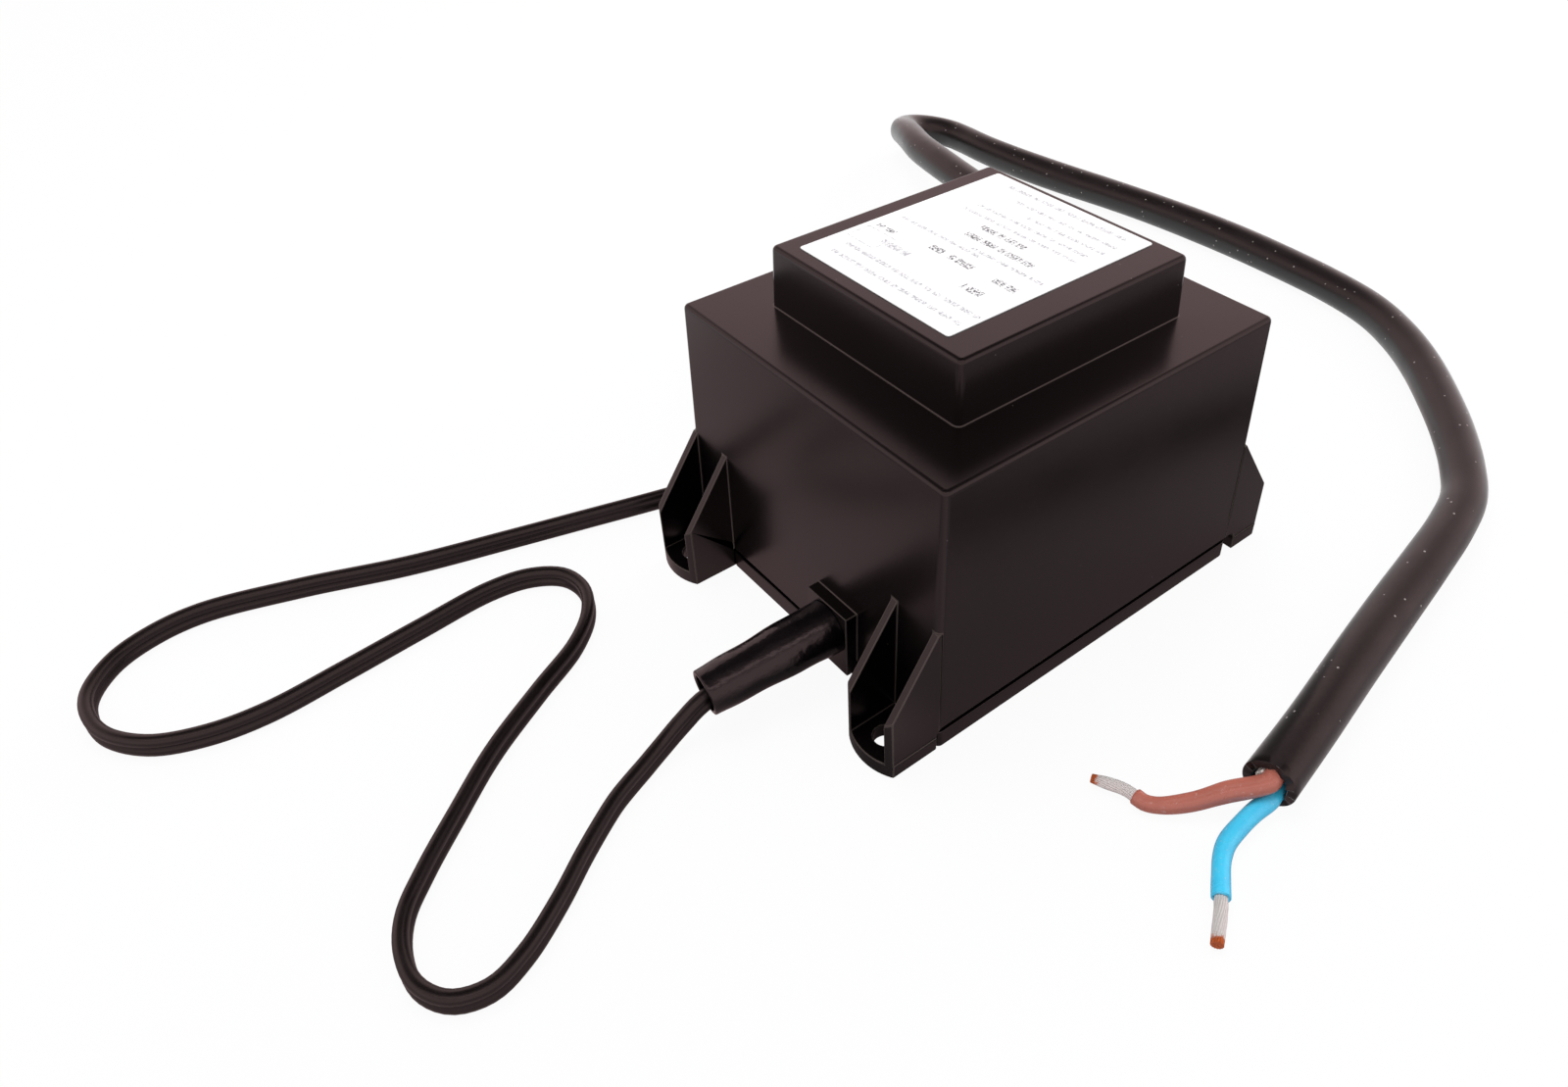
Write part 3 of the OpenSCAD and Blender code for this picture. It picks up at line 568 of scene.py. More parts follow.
def core_insulation(name, colour, stain=0.55):
    """Soft PVC core insulation: clean colour, slight gloss, dulled where it was stripped."""
    material, tree, place = new_finish(name)
    marks = ramp(tree, noise(tree, place, 1.1, 5.0, 0.7), 0.6, 0.78, 0.0, stain)
    marked = blend(tree, marks, mottled(tree, place, colour, 0.88, 1.12, 3.5),
                   (0.75, 0.72, 0.7, 1))
    return dressed(material, marked, wandering(tree, place, 0.18, 0.34, 4),
                   grain(tree, place, 1.6, 0.4, 0.12), IOR=1.53, Coat_Weight=0.35,
                   Coat_Roughness=0.12)


def tinned_strands(name, tin, copper):
    """Drawn copper wire, tinned: pale metal, with bare copper where it was cut."""
    material, tree, place = new_finish(name)
    along = first(tree, "ShaderNodeUVMap", uv_map="Along")
    uneven = calc(tree, "MULTIPLY_ADD", noise(tree, place, 1.0, 3.0), 0.22, axis(tree, along, 1))
    metal = blend(tree, ramp(tree, uneven, 0.94, 1.02, 0.0, 1.0),
                  mottled(tree, place, tin, 0.75, 1.05, 0.7),
                  mottled(tree, place, copper, 0.35, 1.25, 0.5))
    return dressed(material, metal, wandering(tree, place, 0.28, 0.45, 1.5), Metallic=0.4)


def metal_finish(name, colour, low, high, size_mm):
    """Bare, plated or brushed metal with a fine uneven polish."""
    material, tree, place = new_finish(name)
    return dressed(material, mottled(tree, place, colour, 0.85, 1.08, size_mm),
                   wandering(tree, place, low, high, size_mm),
                   grain(tree, place, size_mm / 4, 0.15), Metallic=1.0)


def lined_finish(name, colour, dark, pitch_mm, index, low, high, metallic):
    """A stack or winding seen edge on: fine lines at the real pitch along one axis."""
    material, tree, place = new_finish(name)
    phase = calc(tree, "MULTIPLY", axis(tree, place, index), math.tau * per_mm(pitch_mm))
    wave = calc(tree, "SINE", phase)
    height = ramp(tree, wave, -1.0, 0.2, 0.0, 1.0)
    lined = blend(tree, height, rgba(dark), mottled(tree, place, colour, 0.85, 1.1, 5))
    return dressed(material, lined, wandering(tree, place, low, high, 6),
                   bump(tree, height, 0.5, pitch_mm * 0.3), Metallic=metallic)


# Geometry node trees

def new_geometry_tree(name, inputs):
    """A geometry node tree with a geometry input and output and named inputs."""
    tree = bpy.data.node_groups.new(name, "GeometryNodeTree")
    tree.interface.new_socket("Geometry", in_out="INPUT", socket_type="NodeSocketGeometry")
    for label, kind in inputs:
        tree.interface.new_socket(label, in_out="INPUT", socket_type="NodeSocket" + kind)
    tree.interface.new_socket("Geometry", in_out="OUTPUT", socket_type="NodeSocketGeometry")
    return tree, put(tree, "NodeGroupInput").outputs


def run_tree(name, mesh, tree, values):
    """Runs a geometry node tree on a mesh and gives the plain result."""
    carrier = bpy.data.objects.new(name, mesh)
    bpy.context.scene.collection.objects.link(carrier)
    modifier = carrier.modifiers.new(tree.name, "NODES")
    modifier.node_group = tree
    for item in tree.interface.items_tree:
        if item.in_out == "INPUT" and item.name in values:
            modifier[item.identifier] = values[item.name]
    result = plain_mesh(carrier, name)
    bpy.data.objects.remove(carrier)
    return result


def finished(tree, geometry, material):
    """Ends a repeat: its instances made real, with their material set."""
    real = first(tree, "GeometryNodeRealizeInstances", {0: geometry})
    return first(tree, "GeometryNodeSetMaterial", {0: real, "Material": material})


def strand_tree():
    """Helical strands in layers about +Z, from named sizes."""
    tree, given = new_geometry_tree("Strand bundle", [
        ("Outer count", "Int"), ("Strand radius", "Float"), ("Bundle radius", "Float"),
        ("Length", "Float"), ("Turns", "Float"), ("Material", "Material")])
    joined = put(tree, "GeometryNodeJoinGeometry")
    profile = first(tree, "GeometryNodeCurvePrimitiveCircle",
                    {"Resolution": 8, "Radius": given["Strand radius"]})
    reach = calc(tree, "SUBTRACT", given["Bundle radius"], given["Strand radius"])
    for share in (1.0, 0.62, 0.26):
        radius = calc(tree, "MULTIPLY", reach, share)
        spiral = first(tree, "GeometryNodeCurveSpiral", {
            "Resolution": 40, "Rotations": given["Turns"], "Start Radius": radius,
            "End Radius": radius, "Height": given["Length"]})
        count = first(tree, "FunctionNodeFloatToInt",
                      {0: calc(tree, "MULTIPLY", given["Outer count"], share)},
                      rounding_mode="FLOOR")
        spots = first(tree, "GeometryNodeMeshLine", {"Count": count, "Offset": (0, 0, 0)})
        angle = calc(tree, "MULTIPLY", first(tree, "GeometryNodeInputIndex"),
                     calc(tree, "DIVIDE", math.tau, count))
        copies = first(tree, "GeometryNodeInstanceOnPoints", {
            "Points": spots, "Instance": spiral,
            "Rotation": first(tree, "ShaderNodeCombineXYZ", {2: angle})})
        real = first(tree, "GeometryNodeRealizeInstances", {0: copies})
        wires = first(tree, "GeometryNodeCurveToMesh", {
            "Curve": real, "Profile Curve": profile, "Fill Caps": True})
        tree.links.new(wires, joined.inputs[0])
    put(tree, "NodeGroupOutput", {0: finished(tree, joined.outputs[0], given["Material"])})
    return tree


def row_tree():
    """A flat printed mark on each point, with its size and weight read from the point."""
    tree, given = new_geometry_tree("Printed rows", [
        ("Thin ink", "Material"), ("Bold ink", "Material")])
    unit = first(tree, "GeometryNodeMeshGrid", {"Size X": 1.0, "Size Y": 1.0, "Vertices X": 2,
                                                "Vertices Y": 2})
    size = first(tree, "GeometryNodeInputNamedAttribute", {"Name": "mark_size"},
                 data_type="FLOAT_VECTOR")
    heavy = first(tree, "GeometryNodeInputNamedAttribute", {"Name": "heavy"}, data_type="FLOAT")
    joined = put(tree, "GeometryNodeJoinGeometry")
    for ink, test in (("Thin ink", "LESS_EQUAL"), ("Bold ink", "GREATER_THAN")):
        chosen = first(tree, "FunctionNodeCompare", {0: heavy, 1: 0.5}, data_type="FLOAT",
                       operation=test)
        copies = first(tree, "GeometryNodeInstanceOnPoints", {
            "Points": given["Geometry"], "Selection": chosen, "Instance": unit, "Scale": size})
        tree.links.new(finished(tree, copies, given[ink]), joined.inputs[0])
    put(tree, "NodeGroupOutput", {0: joined.outputs[0]})
    return tree


def rib_tree():
    """Grip ribs: a rounded bar repeated along X on both flanks."""
    tree, given = new_geometry_tree("Grip ribs", [
        ("Count", "Int"), ("Pitch", "Float"), ("Rib radius", "Float"), ("Rib height", "Float"),
        ("Material", "Material")])
    bar = first(tree, "GeometryNodeMeshCylinder", {
        "Vertices": 12, "Radius": given["Rib radius"], "Depth": given["Rib height"]})
    offset = first(tree, "ShaderNodeCombineXYZ", {0: given["Pitch"]})
    spots = first(tree, "GeometryNodeMeshLine", {"Count": given["Count"], "Offset": offset})
    copies = first(tree, "GeometryNodeInstanceOnPoints", {"Points": spots, "Instance": bar})
    put(tree, "NodeGroupOutput", {0: finished(tree, copies, given["Material"])})
    return tree


# Pieces

def smooth_step(share):
    return share * share * (3 - 2 * share)


def cord_outline(sizes):
    """Outline of the flat twin cord: two round lobes with a groove down each face."""
    lobe = sizes.cord_thickness / 2
    centre = sizes.cord_width / 2 - lobe
    ends = math.pi - math.asin((lobe - sizes.cord_groove) / lobe)
    # Each lobe is an arc from groove to groove, in 13 steps
    half = [(lobe * math.sin(a), centre + lobe * math.cos(a))
            for a in (ends * (1 - 2 * k / 13) for k in range(14))]
    return half + [(-x, -y) for x, y in half]


def twin_cord_path():
    """The whole cord, from inside the boss over the floor into the coil and to the plug."""
    points = metres([FLAT_EXIT + Vector(step) for step in ROOT_STEPS] + FLAT_ROUTE)
    for i in range(COIL_TURNS * COIL_STATIONS + 1):
        turn = i / COIL_STATIONS
        # The first and the last quarter of a turn lead into the coil and out of it
        entered = smooth_step(min(1.0, turn / 0.25))
        leaving = smooth_step(max(0.0, (turn - COIL_TURNS + 0.25) / 0.25))
        radius = (COIL_OUTER - (COIL_OUTER - COIL_INNER) * turn / COIL_TURNS
                  + (COIL_START - COIL_OUTER) * (1 - entered) - (COIL_INNER - COIL_END) * leaving)
        angle = math.tau * (turn - 0.25)
        points.append(Vector((COIL_CENTRE[0] + radius * math.cos(angle),
                              COIL_CENTRE[1] + radius * math.sin(angle), COIL_HEIGHT)) * MM)
    return smooth_path(points + metres(TAIL_ROUTE), 1.7 * MM)


def remember_cord(scene, name, path):
    """Keeps a cord's route and length on the scene until the last step clears them."""
    scene[name + "_path"] = [c for point in path[::2] + [path[-1]] for c in point]
    scene[name + "_length"] = path_length(path)


def hollow_sweep(name, path, radii, bore):
    """A round sleeve along a path, open at its far end, with a rounded lip and a bore."""
    count, lip = 40, 0.35 * MM
    rings = [(*station, radius) for station, radius in zip(frames_along(path), radii)]
    point, tangent, side, up, mouth = rings[-1]
    for k in range(1, 6):
        a = math.pi * k / 5
        rings.append((point + tangent * lip * math.sin(a), tangent, side, up,
                      mouth - (mouth - bore) * (1 - math.cos(a)) / 2))
    rings += [(*ring[:4], bore) for ring in reversed(rings[len(path) // 4:len(path)])]
    bm = bmesh.new()
    loops = [[bm.verts.new(point + side * x + up * y) for x, y in circle(radius, count)]
             for point, tangent, side, up, radius in rings]
    for ring, following in zip(loops, loops[1:]):
        bridge(bm, ring, following)
    bm.faces.new(list(reversed(loops[0])))
    bm.faces.new(loops[-1])
    return write_solid(bm, bpy.data.meshes.new(name))


def bend_bundle(mesh, path, flare):
    """Bends a straight bundle about +Z onto a path and opens its strands a little at the tip."""
    total = path_length(path)
    stations = frames_along(path)
    uv = mesh.uv_layers.get("Along") or mesh.uv_layers.new(name="Along")
    shares = []
    for vertex in mesh.vertices:
        share = min(1.0, max(0.0, vertex.co.z / total))
        shares.append(share)
        at = share * (len(stations) - 1)
        i = min(int(at), len(stations) - 2)
        here, there, rest = stations[i], stations[i + 1], at - i
        side = here[2].lerp(there[2], rest).normalized()
        up = here[3].lerp(there[3], rest).normalized()
        opened = 1 + flare * max(0.0, share - 0.7) / 0.3
        vertex.co = (here[0].lerp(there[0], rest) + side * vertex.co.x * opened
                     + up * vertex.co.y * opened)
    for loop in mesh.loops:
        uv.data[loop.index].uv = (0.5, shares[loop.vertex_index])


# Stage

def studio_floor_finish():
    """White floor: plain to the camera, and graded with painted shade and a warm painted
    reflection where a gloss mirrors it.
    """
    material, tree, place = new_finish("white_studio_floor")
    paint = first(tree, "ShaderNodeBsdfDiffuse", {"Color": (0.86, 0.86, 0.87, 1)})
    seen = put(tree, "ShaderNodeLightPath").outputs
    glossy = seen["Is Glossy Ray"]
    # Painted shade and reflection: a gloss mirrors a warm, dim floor in front, standing in for the
    # body's shadow on it and dimmest at the right, and a white one behind
    far = eased(tree, along_view(tree, place, AWAY), 0.03, 0.1, 0, 1)
    front = calc(tree, "MULTIPLY", eased(tree, axis(tree, place, 0), -0.062, -0.042, 0.42, 0.2),
                 eased(tree, axis(tree, place, 1), -0.12, -0.06, 1.5, 1.0))
    # Painted shade: the mirrored floor is darkened between the near lug and the sleeve, standing
    # in for their shadow on it
    apart = put(tree, "ShaderNodeVectorMath", {0: place, 1: (-0.068, -0.032, 0)},
                operation="DISTANCE").outputs["Value"]
    front = calc(tree, "MULTIPLY", front, eased(tree, apart, 0.01, 0.036, 0.2, 1.0))
    shade = blend(tree, far, (1, 0.64, 0.66, 1), (1, 1, 1, 1))
    glow = first(tree, "ShaderNodeEmission", {
        "Color": blend(tree, glossy, (1, 1, 1, 1), shade),
        "Strength": between(tree, glossy, 1.0, between(tree, far, front, 1.0))})
    direct = calc(tree, "MULTIPLY", seen["Is Camera Ray"], 0.94)
    mirrored = calc(tree, "MULTIPLY", calc(tree, "MAXIMUM", glossy, seen["Is Transmission Ray"]),
                    0.9)
    mix = first(tree, "ShaderNodeMixShader", {0: calc(tree, "MAXIMUM", direct, mirrored),
                                              1: paint, 2: glow})
    put(tree, "ShaderNodeOutputMaterial", {"Surface": mix})
    return material


def studio_world():
    """Surroundings: white to the camera, even for plain light, and graded for a gloss."""
    world = bpy.data.worlds.new("studio")
    world.use_nodes = True
    tree = world.node_tree
    tree.nodes.clear()
    # What a gloss mirrors: an even sweep, a dark ceiling, and a bright strip in its front half
    way = put(tree, "ShaderNodeTexCoord").outputs["Generated"]
    height = axis(tree, way, 2)
    front = along_view(tree, way, tuple(-v for v in AWAY))
    ceiling = eased(tree, front, -0.1, 0.3, 0.08, 0.3)
    strip = eased(tree, front, 0.05, 0.25, 0.0, 1.4)
    for low, high, start, end in ((0.74, 0.79, 0.0, 1.0), (0.85, 0.9, 1.0, 0.0)):
        strip = calc(tree, "MULTIPLY", strip, eased(tree, height, low, high, start, end))
    mirrored = calc(tree, "ADD", eased(tree, height, 0.6, 0.74, 1.0, ceiling), strip)
    seen = put(tree, "ShaderNodeLightPath").outputs
    glossy = seen["Is Glossy Ray"]
    strength = between(tree, seen["Is Camera Ray"], between(tree, glossy, 0.62, mirrored), 1.0)
    warm = blend(tree, glossy, (1, 1, 1, 1), (1, 0.69, 0.7, 1))
    back = first(tree, "ShaderNodeBackground", {"Color": warm, "Strength": strength})
    put(tree, "ShaderNodeOutputWorld", {"Surface": back})
    return world


class SUPPLY_OT_stage(Operator):
    """Adds the pale floor, the soft studio light and the camera"""
    bl_idname = "supply.stage"
    bl_label = "Stage"

    def execute(self, context):
        scene = context.scene
        mesh = bpy.data.meshes.new("floor")
        mesh.from_pydata([(-4, -4, 0), (4, -4, 0), (4, 6, 0), (-4, 6, 0)], [], [(0, 1, 2, 3)])
        floor = bpy.data.objects.new("floor", mesh)
        scene.collection.objects.link(floor)
        mesh.materials.append(studio_floor_finish())
        scene.world = studio_world()

        for name, place, aim, size, watts in (
                ("soft_key", (-0.05, 0.25, 1.1), (0, 0, 0.05), 0.6, 5.6),
                ("soft_fill", (0.7, -0.6, 0.8), (0, 0, 0.05), 0.8, 2.0),
                ("soft_side", (0.95, 0.35, 0.22), (0.17, 0.05, 0), 0.4, 7.0)):
            lamp = bpy.data.lights.new(name, "AREA")
            lamp.size = size
            lamp.energy = watts
            thing = bpy.data.objects.new(name, lamp)
            thing.location = place
            # The gloss mirrors the sweep alone, so the lamps leave no spots in it
            thing.visible_glossy = False
            way = Vector(aim) - Vector(place)
            thing.rotation_euler = way.to_track_quat("-Z", "Y").to_euler()
            scene.collection.objects.link(thing)

        az, el, roll = (math.radians(v) for v in VIEW_ANGLES)
        back = Vector((math.sin(az) * math.cos(el), -math.cos(az) * math.cos(el), math.sin(el)))
        right = Vector((math.cos(az), math.sin(az), 0))
        up = back.cross(right)
        c, s = math.cos(roll), math.sin(roll)
        right, up = right * c + up * s, up * c - right * s
        camera = bpy.data.cameras.new("camera")
        camera.sensor_width = SENSOR_WIDTH
        camera.lens = FOCAL_PIXELS * SENSOR_WIDTH / IMAGE[0]
        camera.shift_x = (IMAGE[0] / 2 - MIDDLE_PIXEL[0]) / IMAGE[0]
        camera.shift_y = (MIDDLE_PIXEL[1] - IMAGE[1] / 2) / IMAGE[0]
        camera.clip_start = 0.01
        viewer = bpy.data.objects.new("camera", camera)
        scene.collection.objects.link(viewer)
        turn = Matrix((right, up, back)).transposed().to_4x4()
        viewer.matrix_world = Matrix.Translation(Vector(VIEW_PLACE) * MM) @ turn
        scene.camera = viewer
        scene.view_settings.view_transform = "Standard"
        return {"FINISHED"}


class SUPPLY_OT_flat_cord(Operator):
    """Adds the flat twin cord with its coil, as far as the plug"""
    bl_idname = "supply.flat_cord"
    bl_label = "Flat Cord"

    def execute(self, context):
        sizes, colours = context.scene.supply_sizes, context.scene.supply_colours
        path = twin_cord_path()
        # The cord sinks 0.8 mm from 26 to 34 mm along it, and comes back from 40 to 56 mm, so
        # that it lies against the lip of the sleeve
        gone = 0.0
        for before, point in zip([path[0].copy()] + [p.copy() for p in path], path):
            gone += (point - before).length
            rise, fall = (gone - 0.026) / 0.008, (0.056 - gone) / 0.016
            point.z -= 0.8 * MM * max(0.0, min(1.0, rise, fall))
        vinyl = extruded_vinyl("extruded_vinyl_cord", colours.flat_cord, 0.28, 0.4)
        outline = cord_outline(sizes)
        mesh = sweep("flat_twin_cord", path, lambda share, gone: outline)
        cord = piece("flat_twin_cord", mesh, vinyl, 40)
        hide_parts("flat_cord_root", "flat_cord", "flat_cord_coil", "flat_cord_tail")
        remember_cord(context.scene, "flat_cord", path)
        return {"FINISHED"}


class SUPPLY_OT_cord_sleeve(Operator):
    """Adds the glossy tapered sleeve at the flat cord's boss"""
    bl_idname = "supply.cord_sleeve"
    bl_label = "Cord Sleeve"

    def execute(self, context):
        sizes, colours = context.scene.supply_sizes, context.scene.supply_colours
        path = smooth_path(metres([FLAT_EXIT + Vector(s) for s in SLEEVE_STEPS]), 0.8 * MM)
        # The neck sits in the boss, and the sleeve tapers from there to its mouth
        neck, taper = 6.2 * MM, 31 * MM
        radii = []
        for i in range(len(path)):
            gone = path_length(path[:i + 1])
            share = min(1.0, max(0.0, gone - neck) / taper)
            radius = sizes.sleeve_root + (sizes.sleeve_mouth - sizes.sleeve_root) * share
            # The skin swells and sinks a little along its length
            radius += 0.12 * MM * math.sin(gone / MM * 0.42) * min(1, share * 3)
            radii.append(5.6 * MM if gone < neck else radius)
        bore = sizes.sleeve_mouth - sizes.sleeve_wall
        mesh = hollow_sweep("glossy_cord_sleeve", path, radii, bore)
        vinyl = glossy_vinyl("glossy_vinyl_sleeve", colours.sleeve, 0.16, 0.28, 0.05)
        sleeve = piece("glossy_cord_sleeve", mesh, vinyl, 50)
        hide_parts("cord_sleeve")
        return {"FINISHED"}


class SUPPLY_OT_round_cable(Operator):
    """Adds the round rubber cable with its cut, hollow end"""
    bl_idname = "supply.round_cable"
    bl_label = "Round Cable"

    def execute(self, context):
        sizes, colours = context.scene.supply_sizes, context.scene.supply_colours
        path = smooth_path(metres(ROUND_ROUTE), 2.2 * MM)
        radius, wall, count = sizes.cable_diameter / 2, sizes.sheath_wall, 40
        rng = random.Random(7)
        ragged = [rng.uniform(-0.9, 0.9) * (1.6 if k % 7 == 3 else 0.7) for k in range(count)]

        def outline(share, gone):
            # The two cores inside telegraph through the sheath as a slow two-start twist
            lay = math.tau * gone / LAY_OF_CORES
            return closed_ring(
                count, lambda a: radius * (1 - 0.016 * (1 - math.cos(2 * (a - lay)))))
        rubber = talced_rubber("talced_rubber_sheath", colours.cable)
        mesh = sweep("round_rubber_cable", path, outline, open_end=True)
        steps = [(0.3 * MM, 0.25 * MM), (wall - 0.2 * MM, 0.3 * MM), (wall, -0.1 * MM),
                 (wall + 0.05 * MM, -5.5 * MM)]
        shares = (0.5, 0.5, 0.2, 0)
        roll_cut(mesh, path, count, radius, steps, lambda step, k: ragged[k] * MM * shares[step])
        cable = piece("round_rubber_cable", mesh, rubber, 48)
        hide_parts("round_cable_root", "round_cable")
        remember_cord(context.scene, "round_cable", path)
        return {"FINISHED"}


class SUPPLY_OT_bared_cores(Operator):
    """Adds the two insulated cores, their tinned strands and the torn filler beside them"""
    bl_idname = "supply.bared_cores"
    bl_label = "Bared Cores"

    def execute(self, context):
        sizes, colours = context.scene.supply_sizes, context.scene.supply_colours
        strands = tinned_strands("tinned_copper_strands", colours.tin, colours.copper)
        tree = strand_tree()
        for label, colour, route, bare, seed, root, tip, flare in (
                ("brown", colours.brown, BROWN_ROUTE, BROWN_STRANDS, 3, 1.0, 0.8, -0.3),
                ("blue", colours.blue, BLUE_ROUTE, BLUE_STRANDS, 5, 0.92, 0.86, -0.05)):
            path = smooth_path(metres(route), 0.7 * MM)
            self.add_insulation(label, colour, path, seed, root, tip, sizes)
            line = smooth_path(metres(bare), 0.5 * MM)
            line = [line[0] - frames_along(path)[-1][1] * 1.5 * MM] + line
            bundle = run_tree(label + "_strands", bpy.data.meshes.new("strand_seed"), tree, {
                "Outer count": sizes.outer_strands, "Strand radius": sizes.strand_radius,
                "Bundle radius": sizes.bundle_radius, "Length": path_length(line),
                "Turns": 0.22, "Material": strands})
            bend_bundle(bundle, line, flare)
            wires = piece(label + "_strands", bundle, None, 50)
            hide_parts(label + "_conductor")
        self.add_filler()
        return {"FINISHED"}

    def add_insulation(self, label, colour, path, seed, root, tip, sizes):
        radius, count = sizes.core_diameter / 2, 28
        rng = random.Random(seed)
        wobble = [rng.uniform(0, math.tau) for _ in range(3)]

        def outline(share, gone):
            # Slight flats and swellings where the core was squeezed and stripped
            swell = 1 + 0.02 * math.sin(gone / MM * 0.5 + wobble[0])
            swell *= root + (tip - root) * min(1.0, max(0.0, share - 0.45) / 0.4)
            return closed_ring(count, lambda a: radius * swell
                               * (1 + 0.015 * math.cos(2 * a + wobble[1])))
        mesh = sweep(label + "_core_insulation", path, outline, open_end=True)
        wall = radius * tip - sizes.bundle_radius
        steps = [(0.2 * wall, 0.12 * MM), (0.8 * wall, 0.16 * MM), (wall, 0.0),
                 (1.02 * wall, -2 * MM)]
        roll_cut(mesh, path, count, radius * tip, steps,
                 lambda step, k: rng.uniform(-0.12, 0.12) * MM if step < 3 else 0)
        insulation = core_insulation(label + "_core_vinyl", colour)
        core = piece(label + "_core_insulation", mesh, insulation, 45)
        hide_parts(label + "_core")

    def add_filler(self):
        """Torn paper filler that shows beside the brown core at the cable's cut."""
        mouth = Vector(ROUND_ROUTE[-1])
        along = (mouth - Vector(ROUND_ROUTE[-2])).normalized()
        rng = random.Random(11)
        bm = bmesh.new()
        for y, z, out, thick in ((2.75, 1.5, 1.0, 0.62), (3.05, 0.35, 0.6, 0.5),
                                 (1.95, 2.75, 1.3, 0.45), (2.45, -0.6, 0.4, 0.4)):
            line = [(mouth + along * step
                     + Vector((rng.uniform(-0.1, 0.1), y + rng.uniform(-0.15, 0.15),
                               z + rng.uniform(-0.15, 0.15)))) * MM
                    for step in (-3.5, -1.6, 0.0, out)]

            def outline(share, gone, thick=thick):
                return [(x * rng.uniform(0.7, 1.2), y * rng.uniform(0.7, 1.2))
                        for x, y in circle(thick * MM * (1 - 0.35 * share), 9)]
            tuft = sweep("tuft", smooth_path(line, 0.3 * MM), outline)
            bm.from_mesh(tuft)
            bpy.data.meshes.remove(tuft)
        filler = bpy.data.meshes.new("paper_filler")
        bm.to_mesh(filler)
        bm.free()
        paper = printed_film("torn_kraft_filler", linear("#f4efe8"))
        piece("paper_filler", filler, paper, smooth=False)


class SUPPLY_OT_housing(Operator):
    """Dresses the moulded housing and the base plate with rounded edges"""
    bl_idname = "supply.housing"
    bl_label = "Housing"

    def execute(self, context):
        sizes, colours = context.scene.supply_sizes, context.scene.supply_colours
        width = sizes.edge_bevel
        shell = satin_thermoplastic("spark_finished_housing", colours.housing)
        plate = satin_thermoplastic("moulded_base_plate", colours.plate, 0.3)
        # Painted highlight: a paler copy of the finish for the housing's rounded edges
        highlit = satin_thermoplastic("painted_highlight_edges", colours.edges, 0.0)
        bevelled_copy("housing", "moulded_housing", width, shell, highlit=highlit)
        bevelled_copy("base_plate", "moulded_base_plate", width, plate)
        return {"FINISHED"}


# The label's rows: place along X, start and end along Y, height, and heavy or not, in mm
LABEL_ROWS = [(-26, -22.5, 21.5, 1.3, 0), (-21.3, -23.1, 22.6, 1.3, 0),
              (-14.2, -16.3, -10.3, 2.4, 1), (-14.2, 8, 17.4, 2.2, 0),
              (-7.3, -20.1, -12.9, 2.2, 1), (-7.3, -6.1, 1.5, 2.2, 1), (-7.3, 3.7, 8.8, 2.2, 1),
              (-9.4, 18.4, 24.6, 1.6, 1), (-2.4, -3.1, 23.8, 1.1, 0), (-0.6, -21.4, 1.1, 1.1, 0),
              (3.6, -14.3, 8.1, 2, 1), (8.6, -6.9, 8.5, 2, 1), (12.6, -19.3, 18, 1.1, 0),
              (16.4, -19.1, 18.3, 1.1, 0), (20.4, -20.5, 3.9, 1.1, 0),
              (24.6, -20.5, 12, 1.1, 0), (29.6, -19.1, 19.8, 1.3, 0)]
# A plain frame round one field at the label's far corner: middle and size of each line
LABEL_FRAME = [(-18.4, 20.6, 0.25, 9.6), (-11.6, 20.6, 0.25, 9.6),
               (-15, 15.8, 6.8, 0.25), (-15, 25.4, 6.8, 0.25)]


class SUPPLY_OT_label(Operator):
    """Dresses the label's film and prints plain grey rows on it"""
    bl_idname = "supply.label"
    bl_label = "Label"

    def execute(self, context):
        colours = context.scene.supply_colours
        finish_node("rating_label", printed_film("white_polyester_label", colours.label))
        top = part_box("rating_label")[1].z + 0.02 * MM
        rng = random.Random(21)
        marks = []
        for x, start, end, tall, heavy in LABEL_ROWS:
            y = start
            while y < end - 0.6:
                wide = min(rng.uniform(1.6, 5.2), end - y)
                marks.append((x, y + wide / 2, tall, wide, heavy))
                y += wide + rng.uniform(0.6, 1.1)
        marks += [(*line, 0) for line in LABEL_FRAME]
        points = bpy.data.meshes.new("label_marks")
        points.from_pydata([(x * MM, y * MM, top) for x, y, *_ in marks], [], [])
        size = points.attributes.new("mark_size", "FLOAT_VECTOR", "POINT")
        size.data.foreach_set("vector", [v for _, _, wide, deep, _ in marks
                                         for v in (wide * MM, deep * MM, 1.0)])
        heavy = points.attributes.new("heavy", "FLOAT", "POINT")
        heavy.data.foreach_set("value", [float(mark[-1]) for mark in marks])
        thin = thermal_print("thin_label_ink", colours.ink)
        bold = thermal_print("bold_label_ink", colours.bold_ink)
        printed = run_tree("label_print", points, row_tree(), {"Thin ink": thin, "Bold ink": bold})
        piece("label_print", printed, None, smooth=False)
        return {"FINISHED"}


class SUPPLY_OT_grommet(Operator):
    """Dresses the rubber grommet at the round cable's boss"""
    bl_idname = "supply.grommet"
    bl_label = "Grommet"

    def execute(self, context):
        colours = context.scene.supply_colours
        rubber = talced_rubber("moulded_rubber_grommet", colours.cable)
        bevelled_copy("cable_grommet", "moulded_grommet", 0.4 * MM, rubber, 3)
        return {"FINISHED"}


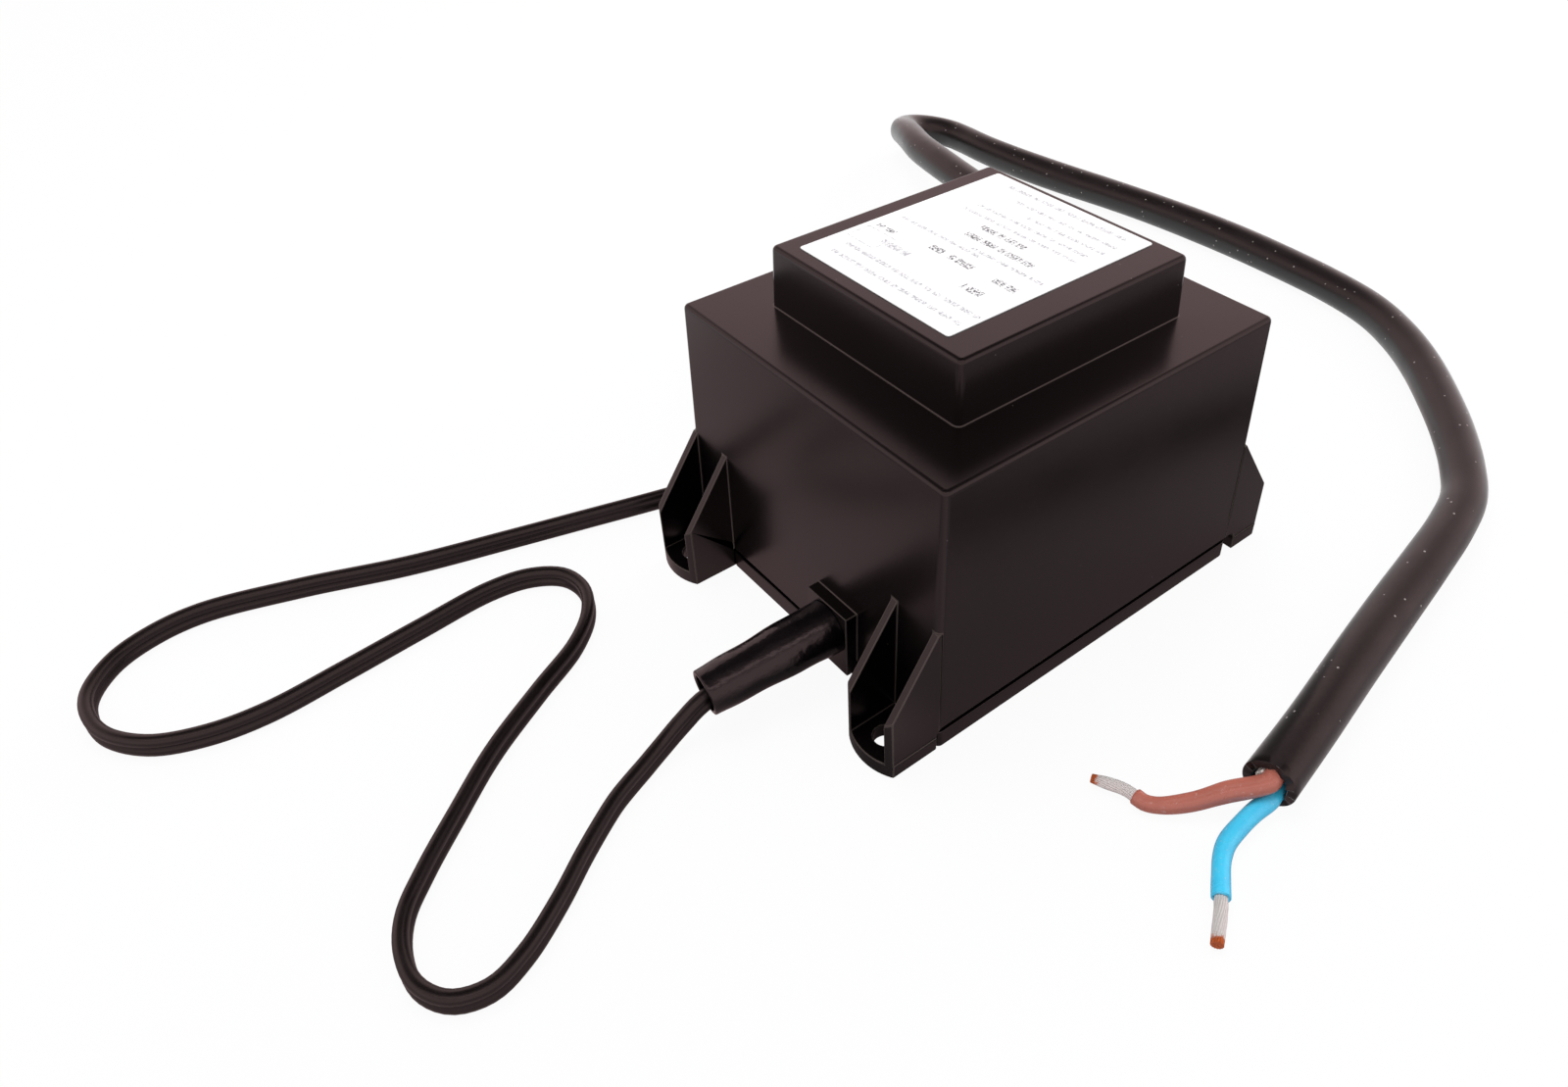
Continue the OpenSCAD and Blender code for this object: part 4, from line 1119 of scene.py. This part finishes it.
class SUPPLY_OT_plug(Operator):
    """Dresses the plug at the cord's far end, its grip ribs and pins, and the coil's tie"""
    bl_idname = "supply.plug"
    bl_label = "Plug"

    def execute(self, context):
        vinyl = glossy_vinyl("moulded_vinyl_plug", linear("#0c0b0c"), 0.3, 0.42, 0.0)
        bevelled_copy("plug_body", "moulded_plug", 1.1 * MM, vinyl, 4)
        low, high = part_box("plug_body")
        blank = bpy.data.meshes.new("rib_seed")
        for name, x in (("left", low.x + 0.15 * MM), ("right", high.x - 0.15 * MM)):
            ribs = run_tree("plug_ribs", blank.copy(), rib_tree(), {
                "Count": 3, "Pitch": 1.9 * MM, "Rib radius": 0.55 * MM, "Rib height": 8 * MM,
                "Material": vinyl})
            place = Matrix.Translation((x, (low.y + high.y) / 2 - 2 * MM, 6.8 * MM))
            ribs.transform(place @ Matrix.Rotation(math.radians(90), 4, "Z"))
            piece("plug_ribs_" + name, ribs, None)
        nickel = metal_finish("nickel_plated_pins", linear("#d2cdbd"), 0.16, 0.3, 3)
        finish_node("plug_pins", nickel)
        tie = satin_thermoplastic("coil_tie_vinyl", linear("#151414"), 0.0)
        bevelled_copy("coil_tie", "coil_tie_band", 0.2 * MM, tie)
        return {"FINISHED"}


class SUPPLY_OT_insides(Operator):
    """Finishes the transformer and the resin inside the housing"""
    bl_idname = "supply.insides"
    bl_label = "Insides"

    def execute(self, context):
        copper = linear("#b5622f")
        finishes = {
            "potting_resin": satin_thermoplastic("filled_casting_resin", linear("#2b2622"), 0.1),
            "core_e_stack": lined_finish("laminated_silicon_steel", linear("#8d8f96"),
                                         linear("#3a3b3e"), 0.5, 2, 0.35, 0.5, 0.9),
            "core_screws": metal_finish("yellow_zinc_plating", linear("#c9b26a"), 0.25, 0.4, 2),
            "bobbin": satin_thermoplastic("glass_filled_nylon", linear("#d9d2b8"), 0.0),
            "primary_winding": lined_finish("enamelled_copper_winding", copper,
                                            linear("#4a210d"), 0.9, 1, 0.25, 0.4, 0.6),
            "winding_insulation": printed_film("polyester_winding_tape", linear("#e2c24a")),
            "thermal_cutout": satin_thermoplastic("ceramic_filled_case", linear("#b9b3a2"), 0.0),
            "cutout_leads": metal_finish("tinned_lead_wire", linear("#cfcac2"), 0.3, 0.45, 1),
            "primary_leads": metal_finish("bare_copper_lead", copper, 0.3, 0.45, 2),
            "primary_splices": core_insulation("red_splice_nylon", linear("#b82420"), 0.0),
            "secondary_splices": core_insulation("blue_splice_nylon", linear("#2450a8"), 0.0),
        }
        finishes["core_i_stack"] = finishes["core_e_stack"]
        finishes["core_nuts"] = finishes["core_screws"]
        finishes["secondary_winding"] = finishes["primary_winding"]
        finishes["outer_wrap"] = finishes["winding_insulation"]
        finishes["secondary_leads"] = finishes["primary_leads"]
        for node, material in finishes.items():
            finish_node(node, material)
        return {"FINISHED"}


class SUPPLY_OT_declare_cords(Operator):
    """Clears the stored routes and lengths of both free cords"""
    bl_idname = "supply.declare_cords"
    bl_label = "Declare Cords"

    def execute(self, context):
        scene, sizes = context.scene, context.scene.supply_sizes

        for cord in ("flat_cord", "round_cable"):
            del scene[cord + "_path"], scene[cord + "_length"]
        return {"FINISHED"}


class SUPPLY_PT_panel(Panel):
    """Lists the power supply's pieces and settings"""
    bl_idname = "SUPPLY_PT_panel"
    bl_label = "Power Supply"
    bl_space_type = "VIEW_3D"
    bl_region_type = "UI"
    bl_category = "Power Supply"

    def draw(self, context):
        column = self.layout.column()
        for operator in OPERATORS:
            column.operator(operator.bl_idname)
        for settings in (context.scene.supply_sizes, context.scene.supply_colours):
            for name in settings.__annotations__:
                column.prop(settings, name)


OPERATORS = (SUPPLY_OT_stage, SUPPLY_OT_flat_cord, SUPPLY_OT_cord_sleeve, SUPPLY_OT_round_cable,
             SUPPLY_OT_bared_cores, SUPPLY_OT_housing, SUPPLY_OT_label, SUPPLY_OT_grommet,
             SUPPLY_OT_plug, SUPPLY_OT_insides, SUPPLY_OT_declare_cords)
CLASSES = (SupplyColours, SupplySizes, *OPERATORS, SUPPLY_PT_panel)


def register():
    for kind in CLASSES:
        bpy.utils.register_class(kind)
    bpy.types.Scene.supply_colours = PointerProperty(type=SupplyColours)
    bpy.types.Scene.supply_sizes = PointerProperty(type=SupplySizes)


def unregister():
    del bpy.types.Scene.supply_sizes
    del bpy.types.Scene.supply_colours
    for kind in reversed(CLASSES):
        bpy.utils.unregister_class(kind)


def main():
    register()
    for operator in OPERATORS:
        group, name = operator.bl_idname.split(".")
        getattr(getattr(bpy.ops, group), name)()


if __name__ == "__main__":
    main()
